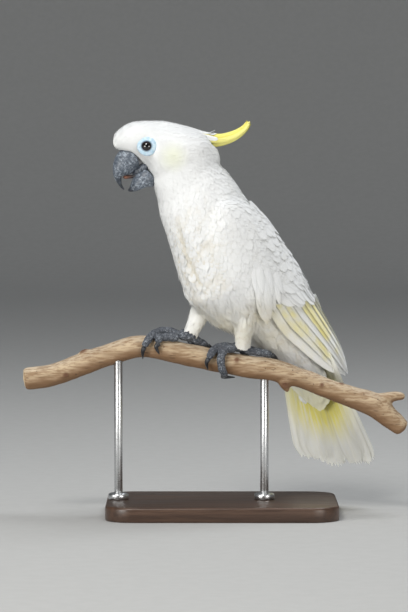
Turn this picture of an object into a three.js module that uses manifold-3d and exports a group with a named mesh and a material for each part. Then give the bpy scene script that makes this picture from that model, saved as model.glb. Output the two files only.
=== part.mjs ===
// A life-size display model of a sulphur-crested cockatoo standing on a cut length of branch,
// which two short rods hold over a flat base.
// Millimetres, +Z up. The origin is the middle of the base's underside, +X runs along the perch
// towards the bird's tail, and the bird looks along -X with its left side towards -Y.
import * as THREE from "three";
import { mergeVertices } from "three/addons/utils/BufferGeometryUtils.js";
import Module from "manifold-3d";

const wasm = await Module();
wasm.setup();

// ---------------------------------------------------------------- driving dimensions

const GAP = 0.3; // clear space between neighbouring pieces
const FAR = 1000; // larger than anything here, for the blocks that cut

// The bird's own frame: x forward, y to its left, z up from the underside of the base.
const BODY_YAW = 35; // degrees that the body is turned from the perch towards -Y
const BODY_X = 5; // where the body's own origin stands along the perch
const HEAD_YAW = 9; // the head looks almost along the perch
const HEAD_PIVOT = [38.8, -5.2, 378]; // the top of the neck, in the bird's frame
const TAIL_TWIST = 12; // the tail is turned a little further than the body

const EYE_RADIUS = 6.6;
const EYE_AT = [54.2, 22.6, 20.2]; // on the left, in the head's frame
const EYE_RING = { inner: 5.3, outer: 10.2, thick: 1.4, dome: 2.2 };

const TAIL = { feathers: 12, length: 163, width: 36, thick: 1.1, rootSpread: 18, tipSpread: 42 };
const TAIL_ROOT = [-98.5, 0, 196];
const TAIL_PITCH = 68; // degrees below level

const BASE = { length: 250, depth: 170, thick: 16, corner: 30, bevel: 2 };
const ROD_RADIUS = 4.5;
const ROD_AT = [-112, 46]; // along the perch
const COLLAR = { radius: 11, height: 7 };

// ---------------------------------------------------------------- materials

const finish = (color, roughness, metalness = 0) =>
  new THREE.MeshStandardMaterial({ color, roughness, metalness });
const plumage = finish(0xf2f2ee, 0.85);
const crestYellow = finish(0xe6dc48, 0.8);
const horn = finish(0x454a52, 0.55);
const clawHorn = finish(0x1c1c1f, 0.35);
const scaledSkin = finish(0x71757c, 0.75);
const bareSkin = finish(0xa9c6d8, 0.6);
const eyeBall = finish(0x0c0a0a, 0.05);
const tongueSkin = finish(0x5a3b36, 0.5);
const bareWood = finish(0xb5936a, 0.8);
const standWood = finish(0x3a2b22, 0.5);
const steel = finish(0xb9bcc0, 0.3, 1);

// ---------------------------------------------------------------- solids

const radians = THREE.MathUtils.degToRad;
const point = ([x, y, z]) => new THREE.Vector3(x, y, z);

// A closed geometry as a manifold solid.
function solid(geometry) {
  const bare = geometry.clone();
  bare.deleteAttribute("normal");
  bare.deleteAttribute("uv");
  const merged = mergeVertices(bare, 1e-4);
  return new wasm.Manifold(
    new wasm.Mesh({
      numProp: 3,
      vertProperties: new Float32Array(merged.getAttribute("position").array),
      triVerts: new Uint32Array(merged.index.array),
    }),
  );
}

// A manifold solid as a named mesh.
function piece(name, body, material) {
  const { vertProperties, triVerts, numProp, numVert } = body.getMesh();
  const positions = new Float32Array(numVert * 3);
  for (let i = 0; i < numVert; i++)
    positions.set(vertProperties.subarray(i * numProp, i * numProp + 3), i * 3);
  const geometry = new THREE.BufferGeometry();
  geometry.setAttribute("position", new THREE.BufferAttribute(positions, 3));
  geometry.setIndex(new THREE.BufferAttribute(new Uint32Array(triVerts), 1));
  geometry.computeVertexNormals();
  const mesh = new THREE.Mesh(geometry, material);
  mesh.name = name;
  return mesh;
}

// A block that fills the space on the side of a plane that its normal points to.
function halfSpace(at, normal) {
  const block = new THREE.BoxGeometry(FAR, FAR, FAR).translate(0, 0, FAR / 2);
  const turn = new THREE.Quaternion().setFromUnitVectors(
    new THREE.Vector3(0, 0, 1),
    point(normal).normalize(),
  );
  return solid(block.applyQuaternion(turn).translate(...at));
}

// The two sides of a thin cut through a solid: [the side its normal points to, the other side].
function cut(body, at, normal) {
  const n = point(normal).normalize();
  const shifted = (by) => point(at).addScaledVector(n, by).toArray();
  return [
    body.intersect(halfSpace(shifted(GAP / 2), n.toArray())),
    body.subtract(halfSpace(shifted(-GAP / 2), n.toArray())),
  ];
}

// A smooth line through numbers or points that belong to evenly numbered stations.
function smoothed(rows) {
  const curve = new THREE.CatmullRomCurve3(rows.map(point), false, "catmullrom", 0.5);
  return (t) => curve.getPoint(THREE.MathUtils.clamp(t, 0, 1));
}

// The line and sections of a long organic form. A station has a centre `at`, a half width `wide`
// towards its left, a half depth `deep`, and `turn`, the degrees its left is turned about Z.
// Its sections lie square to the line, or all square to `facing` where that is given.
function form(stations, facing) {
  const centre = smoothed(stations.map((s) => s.at));
  const sizes = smoothed(stations.map((s) => [s.wide, s.deep, s.turn ?? 0]));
  return (t, angle, grow = 0) => {
    const { x: wide, y: deep, z: turn } = sizes(t);
    const step = 0.01;
    const ahead = centre(Math.min(1, t + step)).sub(centre(Math.max(0, t - step)));
    const along = (facing?.clone() ?? ahead).normalize();
    const left = new THREE.Vector3(-Math.sin(radians(turn)), Math.cos(radians(turn)), 0);
    left.addScaledVector(along, -left.dot(along)).normalize();
    const dorsal = new THREE.Vector3().crossVectors(left, along);
    return centre(t)
      .addScaledVector(left, (wide + grow) * Math.cos(angle))
      .addScaledVector(dorsal, (deep + grow) * Math.sin(angle));
  };
}

// Wraps a sphere's rows over a surface: place(t, angle, round) with t from 0 to 1 along it and
// round from 0 at the two ends to 1 over the middle.
function wrapped(place, { around = 24, along = 24, ends = 0.12 } = {}) {
  const sphere = new THREE.SphereGeometry(1, around, along);
  const shareOf = (row) => {
    const even = row / along;
    const bunched = THREE.MathUtils.lerp(even, (1 - Math.cos(Math.PI * even)) / 2, 0.45);
    const latest = [0, ends * 0.3, ends];
    return Math.min(bunched, latest[row] ?? 1);
  };
  const position = sphere.getAttribute("position");
  for (let row = 0; row <= along; row++)
    for (let column = 0; column <= around; column++) {
      const t = row * 2 <= along ? shareOf(row) : 1 - shareOf(along - row);
      const fromEnd = Math.min(t, 1 - t) / ends;
      const round = fromEnd >= 1 ? 1 : Math.sqrt(Math.max(0, 1 - (1 - fromEnd) ** 2));
      const angle = (2 * Math.PI * (column % around)) / around;
      const p = place(t, angle, row === 0 || row === along ? 0 : round);
      position.setXYZ(row * (around + 1) + column, p.x, p.y, p.z);
    }
  const made = solid(sphere);
  if (made.volume() >= 0) return made;
  const index = sphere.index.array;
  for (let i = 0; i < index.length; i += 3)
    [index[i + 1], index[i + 2]] = [index[i + 2], index[i + 1]];
  return solid(sphere);
}

// A closed solid of elliptical sections along a line, with rounded ends.
function loft(stations, { grow = 0, facing, ...detail } = {}) {
  const section = form(stations, facing);
  return wrapped((t, angle, round) => {
    const middle = section(t, 0, 0).add(section(t, Math.PI, 0)).multiplyScalar(0.5);
    return middle.lerp(section(t, angle, grow), round);
  }, detail);
}

// A closed solid of round sections along a line. radiusOf takes the share of the way along it
// and the point that is reached there.
function tube(places, radiusOf, { around = 10, along = 12, ends = 0.1, grow = 0 } = {}) {
  const curve = new THREE.CatmullRomCurve3(places, false, "catmullrom", 0.5);
  const steps = 200;
  const { normals, binormals } = curve.computeFrenetFrames(steps);
  const place = (t, angle, round) => {
    const i = Math.round(t * steps);
    const centre = curve.getPointAt(i / steps);
    const r = (radiusOf(i / steps, centre) + grow) * round;
    return centre
      .addScaledVector(normals[i], r * Math.cos(angle))
      .addScaledVector(binormals[i], r * Math.sin(angle));
  };
  return wrapped(place, { around, along, ends });
}
const taper = (from, to) => (t) => THREE.MathUtils.lerp(from, to, t);

// ---------------------------------------------------------------- frames

const bird = new THREE.Group();
bird.position.set(BODY_X, 0, 0);
bird.rotation.z = radians(180 + BODY_YAW);
bird.updateMatrixWorld();
const toBird = (p) => bird.worldToLocal(p.clone());

// A place in the head's frame, given in the bird's frame.
const HEAD_TURN = HEAD_YAW - BODY_YAW;
function headPoint([x, y, z]) {
  return point([x, y, z])
    .applyAxisAngle(new THREE.Vector3(0, 0, 1), radians(HEAD_TURN))
    .add(point(HEAD_PIVOT));
}
const headStation = (x, z, wide, deep) => ({
  at: headPoint([x, 0, z]).toArray(),
  wide,
  deep,
  turn: HEAD_TURN,
});

// ---------------------------------------------------------------- perch

// Axis and radius of the branch from its thin end to the fork.
const PERCH = [
  { x: -216, z: 145.6, r: 12.3 },
  { x: -182, z: 151, r: 12.4 },
  { x: -145, z: 164.7, r: 12.5 },
  { x: -105, z: 178.2, r: 12 },
  { x: -88, z: 181.6, r: 12.4 },
  { x: -67, z: 179.3, r: 12.1 },
  { x: -34, z: 172, r: 12.1 },
  { x: 25, z: 161, r: 12.8 },
  { x: 52, z: 157.1, r: 12.4 },
  { x: 84, z: 148, r: 11.2 },
  { x: 111, z: 137.7, r: 11.2 },
  { x: 138, z: 128, r: 12 },
  { x: 166, z: 117, r: 13.2 },
  { x: 184, z: 103, r: 11.5 },
  { x: 198, z: 91, r: 9 },
];
const perchBow = (x) => 5 * Math.cos(((x - 20) * Math.PI) / 330) - 5; // it bends back at its ends
const perchAxis = PERCH.map(({ x, z }) => new THREE.Vector3(x, -perchBow(x), z));

// The point on or over the branch at x, at an angle round it: 0 faces -Y and 90 is on top.
function onPerch(x, degrees, off = 0) {
  const i = Math.max(1, PERCH.findIndex((s) => s.x >= x));
  const [a, b] = [PERCH[i - 1], PERCH[i]];
  const share = (x - a.x) / (b.x - a.x);
  const axis = perchAxis[i - 1].clone().lerp(perchAxis[i], share);
  const along = perchAxis[i].clone().sub(perchAxis[i - 1]).normalize();
  const front = new THREE.Vector3(0, -1, 0);
  const top = new THREE.Vector3().crossVectors(front, along).normalize();
  if (top.z < 0) top.negate();
  const radius = perchRadius(x) + off;
  return axis
    .addScaledVector(front, radius * Math.cos(radians(degrees)))
    .addScaledVector(top, radius * Math.sin(radians(degrees)));
}

function perchRadius(x) {
  const i = Math.max(1, PERCH.findIndex((s) => s.x >= x));
  const [a, b] = [PERCH[i - 1], PERCH[i]];
  return THREE.MathUtils.lerp(a.r, b.r, (x - a.x) / (b.x - a.x));
}
const limb = (grow) => {
  const detail = { around: 10, along: 22, ends: 0.004, grow };
  return tube(perchAxis, (t, centre) => perchRadius(centre.x), detail);
};
const PRONG = [[158, 4, 118], [176, 5, 125], [190, 6, 128], [199, 6, 127]];
const prong = (grow) =>
  tube(PRONG.map(point), taper(9.5, 4.5), { around: 8, along: 6, ends: 0.02, grow });
const TWIG = [[62, 0, 152], [68, -2, 140], [72, -3, 132.5]];
const twigStub = (grow) =>
  tube(TWIG.map(point), taper(8, 2.2), { around: 8, along: 6, ends: 0.05, grow });
const perchSolid = (grow = 0) => limb(grow).add(prong(grow)).add(twigStub(grow));
const perchClear = perchSolid(GAP);
const perchClearOfBird = perchClear
  .translate([-BODY_X, 0, 0])
  .rotate([0, 0, -180 - BODY_YAW]);

// ---------------------------------------------------------------- head, neck and trunk

const HEAD = [
  headStation(89, 24.5, 3, 3.4),
  headStation(84.4, 26.6, 11, 9.7),
  headStation(77.8, 28, 17, 13.3),
  headStation(69.1, 28.2, 21, 17.6),
  headStation(59.5, 26.5, 24.5, 21),
  headStation(51, 22, 27, 25.8),
  headStation(43, 14.5, 29.5, 32.5),
  headStation(32, 10, 31.5, 35.5),
  headStation(16, 8.5, 33, 34.5),
  headStation(0, 8.5, 31.5, 29.5),
  headStation(-14, 7.5, 26, 23),
  headStation(-24, 5, 16, 14.5),
  headStation(-29, 2.5, 5, 4.5),
];

// From inside the head, down the neck, through breast and belly to the coverts under the tail.
const BODY = [
  { at: headPoint([13, 0, 5]).toArray(), wide: 32.5, deep: 34, turn: HEAD_TURN },
  { at: [45, -8, 358.5], wide: 36, deep: 42.5, turn: HEAD_TURN * 0.7 },
  { at: [32.8, -3.4, 336], wide: 42, deep: 47, turn: HEAD_TURN * 0.3 },
  { at: [19.5, 0, 310], wide: 46.5, deep: 52.5, turn: 0 },
  { at: [2.6, 0, 285], wide: 49, deep: 61, turn: 0 },
  { at: [-14, 0, 257.5], wide: 49, deep: 63.5, turn: 0 },
  { at: [-40.5, 0, 234.5], wide: 46, deep: 50, turn: 0 },
  { at: [-64, 0, 212.5], wide: 39, deep: 41.5, turn: 0 },
  { at: [-84.5, 0, 184.5], wide: 33, deep: 32.5, turn: 3 },
  { at: [-103, 0, 156], wide: 28, deep: 20, turn: 6 },
  { at: [-116, 0, 130], wide: 21, deep: 10, turn: 10 },
  { at: [-124, 0, 107], wide: 11, deep: 4, turn: TAIL_TWIST },
];
const fleshDetail = { around: 18, along: 18 };
const headBack = headPoint([-1, 0, 0]).sub(headPoint([0, 0, 0]));
const headSolid = loft(HEAD, { around: 16, along: 14, ends: 0.06, facing: headBack });
const bodySolid = loft(BODY, { ...fleshDetail, ends: 0.05 });
const HEAD_CUT = { at: headPoint([14, 0, -16]).toArray(), normal: [0.55, -0.25, 0.8] };
const NECK_CUT = { at: [29, 0, 329], normal: [0.54, -0.05, 0.84] };

// ---------------------------------------------------------------- wings

// The folded wing lies on the body's side and runs on past it beside the tail.
const WING_BED = [
  { at: [45, -2, 358.5], wide: 37, deep: 43 },
  { at: [32.8, -1, 336], wide: 42.4, deep: 47.2 },
  { at: [19.5, 0, 310], wide: 46.8, deep: 52.6 },
  { at: [3.4, 0, 284.5], wide: 49.3, deep: 58.5 },
  { at: [-13.2, 0, 257], wide: 49.4, deep: 61.5 },
  { at: [-40, 0, 235], wide: 47, deep: 55 },
  { at: [-62, 0, 211], wide: 43, deep: 49 },
  { at: [-87, 0, 186], wide: 40, deep: 43 },
  { at: [-110, 0, 160], wide: 38, deep: 38 },
  { at: [-128, 0, 134], wide: 34, deep: 32 },
];
const WING_REACH = [0.1, 1]; // along the bed, from the bend of the wing to its tip
// Across the wing, in degrees from the body's side: the lower edge and the edge on the back.
const WING_EDGES = [
  [-26, 26],
  [-38, 56],
  [-36, 74],
  [-29, 82],
  [-20, 84],
  [-4, 82],
  [14, 76],
  [36, 56],
];
const WING_THICK = [4, 5, 5.8, 6, 5.5, 4.5, 3.6, 2.6];

function wing(side, grow = 0) {
  const bed = form(WING_BED);
  const edges = smoothed(
    WING_EDGES.map(([low, high], i) => [low, high, WING_THICK[i]]),
  );
  const place = (t, angle, round) => {
    const { x: low, y: high, z: thick } = edges(t);
    const across = (low + high) / 2 + ((high - low) / 2 + grow) * Math.cos(angle) * round;
    const over = Math.max(0, Math.sin(angle)) ** 0.6 * (thick + grow) * round;
    const under = Math.max(0, -Math.sin(angle)) * grow * round;
    const reach = THREE.MathUtils.lerp(WING_REACH[0], WING_REACH[1], t);
    const p = bed(reach, radians(across), GAP + over - under);
    return new THREE.Vector3(p.x, side * p.y, p.z);
  };
  return wrapped(place, { around: 14, along: 14, ends: 0.16 });
}
const COVERT_CUT = { at: [-62, 0, 231], normal: [0.18, 0, 1] };

// ---------------------------------------------------------------- legs and feet

// A leg's feathered part, from inside the body to the ankle, between places in the row's frame.
function leg({ top, ankle }, grow = 0) {
  const places = [0, 0.35, 0.7, 1].map((share) => toBird(point(top).lerp(point(ankle), share)));
  const radius = (t) => THREE.MathUtils.lerp(16, 7.4, t ** 0.7);
  return tube(places, radius, { around: 10, along: 6, ends: 0.12, grow });
}
const LEGS = {
  left: { top: [25, -20, 238], ankle: [22.5, -5, 187] },
  right: { top: [-9, 12, 250], ankle: [-32, 1, 200] },
};

// Each toe runs from the foot's sole over the branch: [x along the perch, degrees round it, lift].
// Its claw goes on from the last of these places.
const FEET = {
  left: {
    sole: [[24, 92, 12], [15, 84, 7.5], [8, 76, 6.5]],
    toes: {
      inner_front: {
        path: [[10, 78, 5], [-3, 72, 4.6], [-11, 42, 4.4], [-15, 4, 4.2]],
        claw: [[-16, -14, 3.4], [-13, -48, 2.8]],
      },
      outer_front: {
        path: [[12, 70, 4.8], [1, 56, 4.8], [-2, 18, 4.6], [1, -22, 4.4], [6, -50, 4.2]],
        claw: [[4, -84, 3.6], [17, -108, 2.6]],
      },
      outer_back: {
        path: [[20, 88, 4.8], [32, 92, 4.4], [43, 98, 4.2], [52, 112, 4]],
        claw: [[56, 132, 3.2], [57, 160, 2.6]],
      },
      inner_back: {
        path: [[18, 100, 4.8], [22, 130, 4.6], [25, 165, 4.4]],
        claw: [[27, 188, 3.4], [27, 214, 2.6]],
      },
    },
  },
  right: {
    sole: [[-31, 96, 13], [-42, 90, 9], [-52, 84, 8]],
    toes: {
      outer_front: {
        path: [[-50, 92, 7.5], [-66, 92, 8], [-76, 62, 5], [-82, 22, 4.4], [-84, 2, 4.2]],
        claw: [[-85, -16, 3.4], [-84, -56, 2.8]],
      },
      inner_front: {
        path: [[-50, 72, 5], [-61, 62, 4.8], [-69, 46, 4.6], [-69, 24, 4.4]],
        claw: [[-71, 8, 3.6], [-67, -20, 2.8]],
      },
      inner_back: {
        path: [[-40, 104, 6], [-35, 120, 5], [-30, 150, 4.4]],
        claw: [[-28, 172, 3.4], [-28, 198, 2.6]],
      },
      outer_back: {
        path: [[-36, 90, 7], [-27, 110, 4.6], [-18, 128, 4.4]],
        claw: [[-12, 142, 3.2], [-8, 166, 2.6]],
      },
    },
  },
};
const TOE_RADIUS = [5, 4.1]; // at the sole and at the claw
const CLAW_RADIUS = [2.7, 0.6];

const perchPlaces = (rows) => rows.map(([x, degrees, lift]) => toBird(onPerch(x, degrees, lift)));
function toe({ path }, grow = 0) {
  const detail = { around: 7, along: 7, ends: 0.14, grow };
  return tube(perchPlaces(path), taper(...TOE_RADIUS), detail);
}

function claw({ path, claw: tip }, grow = 0) {
  const places = perchPlaces([path.at(-1), ...tip]);
  return tube(places, taper(...CLAW_RADIUS), { around: 6, along: 6, ends: 0.06, grow });
}

function sole({ sole: path }, grow = 0) {
  return tube(perchPlaces(path), taper(7.2, 6), { around: 8, along: 6, ends: 0.3, grow });
}

// ---------------------------------------------------------------- bill, tongue and eyes

// [forward, up, half width, half depth] along the ridge, in the head's frame.
const beakStations = (rows) => rows.map((row) => headStation(...row));
const UPPER_BILL = [
  [63.5, 10.8, 11, 11.5],
  [70, 6.7, 11.6, 13.6],
  [75.9, 0, 10.6, 12.8],
  [80.4, -6, 8.2, 9],
  [82.6, -11.2, 5.6, 5],
  [81.6, -16.6, 3.6, 2.9],
  [79.4, -21.9, 2, 1.6],
  [76, -26.4, 0.7, 0.7],
];
const LOWER_BILL = [
  [47.1, -8.6, 11, 10.5],
  [52.3, -13.3, 12.2, 11.2],
  [57.6, -17.7, 11.6, 9.8],
  [62.5, -21.3, 9.8, 7.4],
  [66.6, -23.8, 7, 4.9],
  [70.4, -25.6, 4, 2.2],
  [73.2, -25.4, 1.6, 0.9],
];
const TONGUE = [
  [56, -8, 4, 3],
  [63, -11.4, 3.6, 2.3],
  [70, -12.4, 3, 1.9],
  [77, -13, 2.8, 2.4],
];
const billDetail = { around: 10, along: 11, ends: 0.05 };
const upperBill = (grow = 0) => loft(beakStations(UPPER_BILL), { ...billDetail, grow });
const lowerBill = (grow = 0) => loft(beakStations(LOWER_BILL), { ...billDetail, grow });
const tongue = (grow = 0) =>
  loft(beakStations(TONGUE), { around: 8, along: 6, ends: 0.2, grow });

// An eye and the bare skin round it face outwards and a little forwards.
const eyePlace = (side) => headPoint([EYE_AT[0], side * EYE_AT[1], EYE_AT[2]]);
const eyeAxis = (side) =>
  new THREE.Vector3(0.3, side, 0.08)
    .normalize()
    .applyAxisAngle(new THREE.Vector3(0, 0, 1), radians(HEAD_TURN));

function eye(side, grow = 0) {
  const ball = new THREE.SphereGeometry(EYE_RADIUS + grow, 12, 7);
  return solid(ball.translate(...eyePlace(side).toArray()));
}

function eyeRing(side, grow = 0) {
  const { inner, outer, thick, dome } = EYE_RING;
  const profile = [
    [inner - 3 * grow, dome - thick - 2 * grow],
    [outer + grow, -thick - grow],
    [outer + grow, grow],
    [(inner + outer) / 2, dome * 0.8 + grow],
    [inner - 3 * grow, dome + grow],
    [inner - 3 * grow, dome - thick - 2 * grow],
  ];
  const ring = new THREE.LatheGeometry(profile.map(([r, h]) => new THREE.Vector2(r, h)), 12);
  const turn = new THREE.Quaternion().setFromUnitVectors(new THREE.Vector3(0, 1, 0), eyeAxis(side));
  const at = eyePlace(side).addScaledVector(eyeAxis(side), 2.6);
  return solid(ring.applyQuaternion(turn).translate(...at.toArray()));
}

// ---------------------------------------------------------------- crest

// The folded crest lies back over the crown and sweeps up at its tips.
const CREST = [
  [62, 44, 9, 2.2],
  [44, 44.5, 13, 4],
  [26, 41, 14, 5],
  [8, 35.5, 13, 6.2],
  [-9, 29.5, 11, 7],
  [-22, 26.4, 8.6, 7],
  [-33, 27.4, 6, 5.6],
  [-45, 32, 4.6, 4.4],
  [-55, 39.6, 3.4, 3.4],
  [-60, 48.5, 1.8, 1.6],
];
const CREST_CUT = {
  at: headPoint([-12, 0, 31]).toArray(),
  normal: headPoint([0.42, 0, 0.9]).sub(headPoint([0, 0, 0])).toArray(),
};
const crestSolid = (grow = 0) =>
  loft(beakStations(CREST), { around: 8, along: 14, ends: 0.04, grow });

// ---------------------------------------------------------------- tail

// One tail feather, lying along +Y from its root, with a broad blunt tip.
function tailFeather() {
  const { length, width, thick } = TAIL;
  const half = width / 2;
  const outline = new THREE.Shape();
  outline.moveTo(-3, 0);
  outline.bezierCurveTo(-half * 0.8, length * 0.2, -half, length * 0.5, -half, length * 0.86);
  outline.quadraticCurveTo(-half * 0.9, length, 0, length);
  outline.quadraticCurveTo(half * 0.9, length, half, length * 0.86);
  outline.bezierCurveTo(half, length * 0.5, half * 0.8, length * 0.2, 3, 0);
  outline.closePath();
  return new THREE.ExtrudeGeometry(outline, {
    depth: thick,
    bevelEnabled: false,
    curveSegments: 2,
  });
}

// Six pairs fan out from the root, the middle pair on top and each next one under its neighbour.
function tail() {
  const down = radians(TAIL_PITCH);
  const along = new THREE.Vector3(-Math.cos(down), 0, -Math.sin(down));
  const left = new THREE.Vector3(0, 1, 0).applyAxisAngle(along, radians(-TAIL_TWIST));
  const dorsal = new THREE.Vector3().crossVectors(left, along);
  const basis = new THREE.Matrix4().makeBasis(left, along, new THREE.Vector3().crossVectors(left, along));
  const feathers = [];
  for (let i = 0; i < TAIL.feathers; i++) {
    const share = (2 * i) / (TAIL.feathers - 1) - 1; // -1 on the right to 1 on the left
    const spread = TAIL.tipSpread - TAIL.rootSpread;
    const lean = Math.atan2(share * spread, TAIL.length);
    const layer = -Math.abs(share) * 5.2;
    const geometry = tailFeather()
      .scale(1, 1 - 0.05 * share ** 2, 1)
      .rotateY(share * 0.26)
      .rotateZ(-lean)
      .translate(share * TAIL.rootSpread, 0, layer)
      .applyMatrix4(basis)
      .translate(...TAIL_ROOT);
    feathers.push(solid(geometry));
  }
  return { body: feathers.reduce((all, one) => all.add(one)), along, dorsal };
}

// ---------------------------------------------------------------- stand

function roundedBase() {
  const { length, depth, thick, corner, bevel } = BASE;
  const [x, y] = [length / 2 - bevel, depth / 2 - bevel];
  const outline = new THREE.Shape();
  outline.moveTo(-x + corner, -y);
  outline.lineTo(x - corner, -y);
  outline.absarc(x - corner, -y + corner, corner, -Math.PI / 2, 0);
  outline.lineTo(x, y - corner);
  outline.absarc(x - corner, y - corner, corner, 0, Math.PI / 2);
  outline.lineTo(-x + corner, y);
  outline.absarc(-x + corner, y - corner, corner, Math.PI / 2, Math.PI);
  outline.lineTo(-x, -y + corner);
  outline.absarc(-x + corner, -y + corner, corner, Math.PI, 1.5 * Math.PI);
  const block = new THREE.ExtrudeGeometry(outline, {
    depth: thick - 2 * bevel,
    bevelThickness: bevel,
    bevelSize: bevel,
    bevelSegments: 1,
    curveSegments: 4,
  });
  return solid(block.translate(0, 0, bevel));
}

const upright = (geometry, x, z) => geometry.rotateX(Math.PI / 2).translate(x, 0, z);

// A rod ends under the branch, and a low collar holds its foot.
function rod(x) {
  const top = onPerch(x, 90, 0).z;
  const [from, to] = [BASE.thick + GAP, top];
  const shaft = new THREE.CylinderGeometry(ROD_RADIUS, ROD_RADIUS, to - from, 16);
  const whole = solid(upright(shaft, x, (from + to) / 2));
  return whole.subtract(perchClear);
}

function collar(x) {
  const bore = ROD_RADIUS + GAP;
  const { radius, height } = COLLAR;
  const profile = [
    [bore, 0],
    [radius, 0],
    [radius, height * 0.45],
    [radius * 0.72, height],
    [bore, height],
    [bore, 0],
  ];
  const ring = new THREE.LatheGeometry(profile.map(([r, h]) => new THREE.Vector2(r, h)), 16);
  return solid(upright(ring, x, BASE.thick + GAP));
}

// ---------------------------------------------------------------- putting it together

const SIDES = { left: 1, right: -1 };
const made = [];
const inBird = (name, body, material) => made.push([bird, name, body, material]);

// Head parts first, because the head makes room for them.
const faceParts = Object.values(SIDES).flatMap((side) => [eye(side, GAP), eyeRing(side, GAP)]);
const upper = upperBill();
const lower = lowerBill();
const crestClear = crestSolid(GAP);
let headAndBody = headSolid.add(bodySolid);
for (const clear of [...faceParts, upperBill(GAP), lowerBill(GAP), tongue(GAP), crestClear])
  headAndBody = headAndBody.subtract(clear);

const fan = tail();
const fanClear = fan.body;
const legClear = Object.values(LEGS).map((one) => leg(one, GAP));
const wingClear = Object.values(SIDES).map((side) => wing(side, 2 * GAP));
const soles = Object.values(FEET).map((foot) => sole(foot, GAP));
for (const clear of [...legClear, ...wingClear, ...soles, perchClearOfBird])
  headAndBody = headAndBody.subtract(clear);

const largest = (body) =>
  body.decompose().reduce((best, one) => (one.volume() > best.volume() ? one : best));
const [head, rest] = cut(headAndBody, HEAD_CUT.at, HEAD_CUT.normal);
const [neck, trunk] = cut(rest, NECK_CUT.at, NECK_CUT.normal);
inBird("head", largest(head), plumage);
inBird("neck", largest(neck), plumage);
inBird("trunk", largest(trunk), plumage);
const [crestFront, crestTips] = cut(crestSolid(), CREST_CUT.at, CREST_CUT.normal);
inBird("crest_front", largest(crestFront), plumage);
inBird("crest_yellow", largest(crestTips), crestYellow);
inBird("bill_upper", upper, horn);
inBird("bill_lower", largest(lower.subtract(upperBill(GAP))), horn);
inBird("tongue", largest(tongue().subtract(upperBill(GAP)).subtract(lowerBill(GAP))), tongueSkin);

const bodyClear = loft(BODY, { ...fleshDetail, ends: 0.05, grow: GAP });
inBird("tail", largest(fanClear.subtract(bodyClear)), plumage);

for (const [name, side] of Object.entries(SIDES)) {
  inBird(`eye_${name}`, eye(side), eyeBall);
  inBird(`eye_ring_${name}`, eyeRing(side).subtract(eye(side, GAP)), bareSkin);

  const [coverts, flight] = cut(wing(side).subtract(fan.body), COVERT_CUT.at, COVERT_CUT.normal);
  inBird(`wing_${name}_coverts`, largest(coverts), plumage);
  inBird(`wing_${name}_flight_feathers`, largest(flight), plumage);

  const foot = FEET[name];
  const soleClear = sole(foot, GAP);
  inBird(`leg_${name}`, largest(leg(LEGS[name]).subtract(soleClear).subtract(wing(side, GAP))), plumage);
  inBird(`foot_${name}`, largest(sole(foot).subtract(perchClearOfBird)), scaledSkin);
  const before = [soleClear];
  for (const [toeName, shape] of Object.entries(foot.toes)) {
    const clawClear = claw(shape, GAP);
    let body = toe(shape).subtract(perchClearOfBird).subtract(clawClear);
    for (const clear of before) body = body.subtract(clear);
    before.push(toe(shape, GAP));
    inBird(`toe_${name}_${toeName}`, largest(body), scaledSkin);
    inBird(`claw_${name}_${toeName}`, largest(claw(shape).subtract(perchClearOfBird)), clawHorn);
  }
}

const part = new THREE.Group();
const perch = new THREE.Group();
const stand = new THREE.Group();
part.add(bird, perch, stand);
for (const [group, name, body, material] of made) group.add(piece(name, body, material));
perch.add(piece("perch", perchSolid(), bareWood));
stand.add(piece("stand_base", roundedBase(), standWood));
ROD_AT.forEach((x, i) => {
  stand.add(piece(`stand_rod_${i + 1}`, largest(rod(x)), steel));
  stand.add(piece(`stand_collar_${i + 1}`, collar(x), steel));
});

export default part;
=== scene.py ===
# %% [markdown]
# # A cockatoo on a branch
# This lesson dresses the solid model of a sulphur-crested cockatoo: skin under a coat of separate
# feathers, a powdery bill, scaled feet, a wet eye, and the branch and stand that hold it up.
# The solid model is loaded first. It is the fixed frame, and every piece is placed on it in metres.

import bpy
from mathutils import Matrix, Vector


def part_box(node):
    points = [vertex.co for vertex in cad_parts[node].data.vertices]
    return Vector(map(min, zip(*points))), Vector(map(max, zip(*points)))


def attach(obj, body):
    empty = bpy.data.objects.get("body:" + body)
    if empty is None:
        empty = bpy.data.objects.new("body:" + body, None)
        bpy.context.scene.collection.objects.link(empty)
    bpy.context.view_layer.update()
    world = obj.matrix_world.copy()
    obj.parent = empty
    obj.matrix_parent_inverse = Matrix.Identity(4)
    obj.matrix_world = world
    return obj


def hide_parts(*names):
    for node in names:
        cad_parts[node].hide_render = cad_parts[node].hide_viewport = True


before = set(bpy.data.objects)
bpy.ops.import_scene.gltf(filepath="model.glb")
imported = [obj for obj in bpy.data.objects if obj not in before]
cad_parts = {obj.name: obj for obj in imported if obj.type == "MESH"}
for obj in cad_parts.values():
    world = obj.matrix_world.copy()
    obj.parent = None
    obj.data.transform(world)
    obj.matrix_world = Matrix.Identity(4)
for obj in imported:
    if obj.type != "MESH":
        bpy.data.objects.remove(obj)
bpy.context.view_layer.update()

import math

import bpy
import numpy as np
from mathutils import Matrix, Vector, noise
from mathutils.bvhtree import BVHTree

MM = 0.001
chance = np.random.default_rng(7)

# %% [markdown]
# ## Places on the bird
# The bird stands turned on its perch, and its head is turned less than its body. Two small frames
# keep the numbers simple: one for the body and one for the head. Both measure in millimetres,
# x forward, y to the bird's left and z up, as a taxidermist would measure along the bird itself.

# %% The body's and the head's own frames
BODY_YAW, HEAD_YAW = math.radians(35), math.radians(9)
BODY_X = 5.0
HEAD_PIVOT = (38.8, -5.2, 378.0)


def turn_z(points, angle):
    points = np.asarray(points, float)
    c, s = math.cos(angle), math.sin(angle)
    x, y, z = points[..., 0], points[..., 1], points[..., 2]
    return np.stack([c * x - s * y, s * x + c * y, z], -1)


def body_point(points):
    return body_way(points) + [BODY_X, 0, 0]


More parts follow.
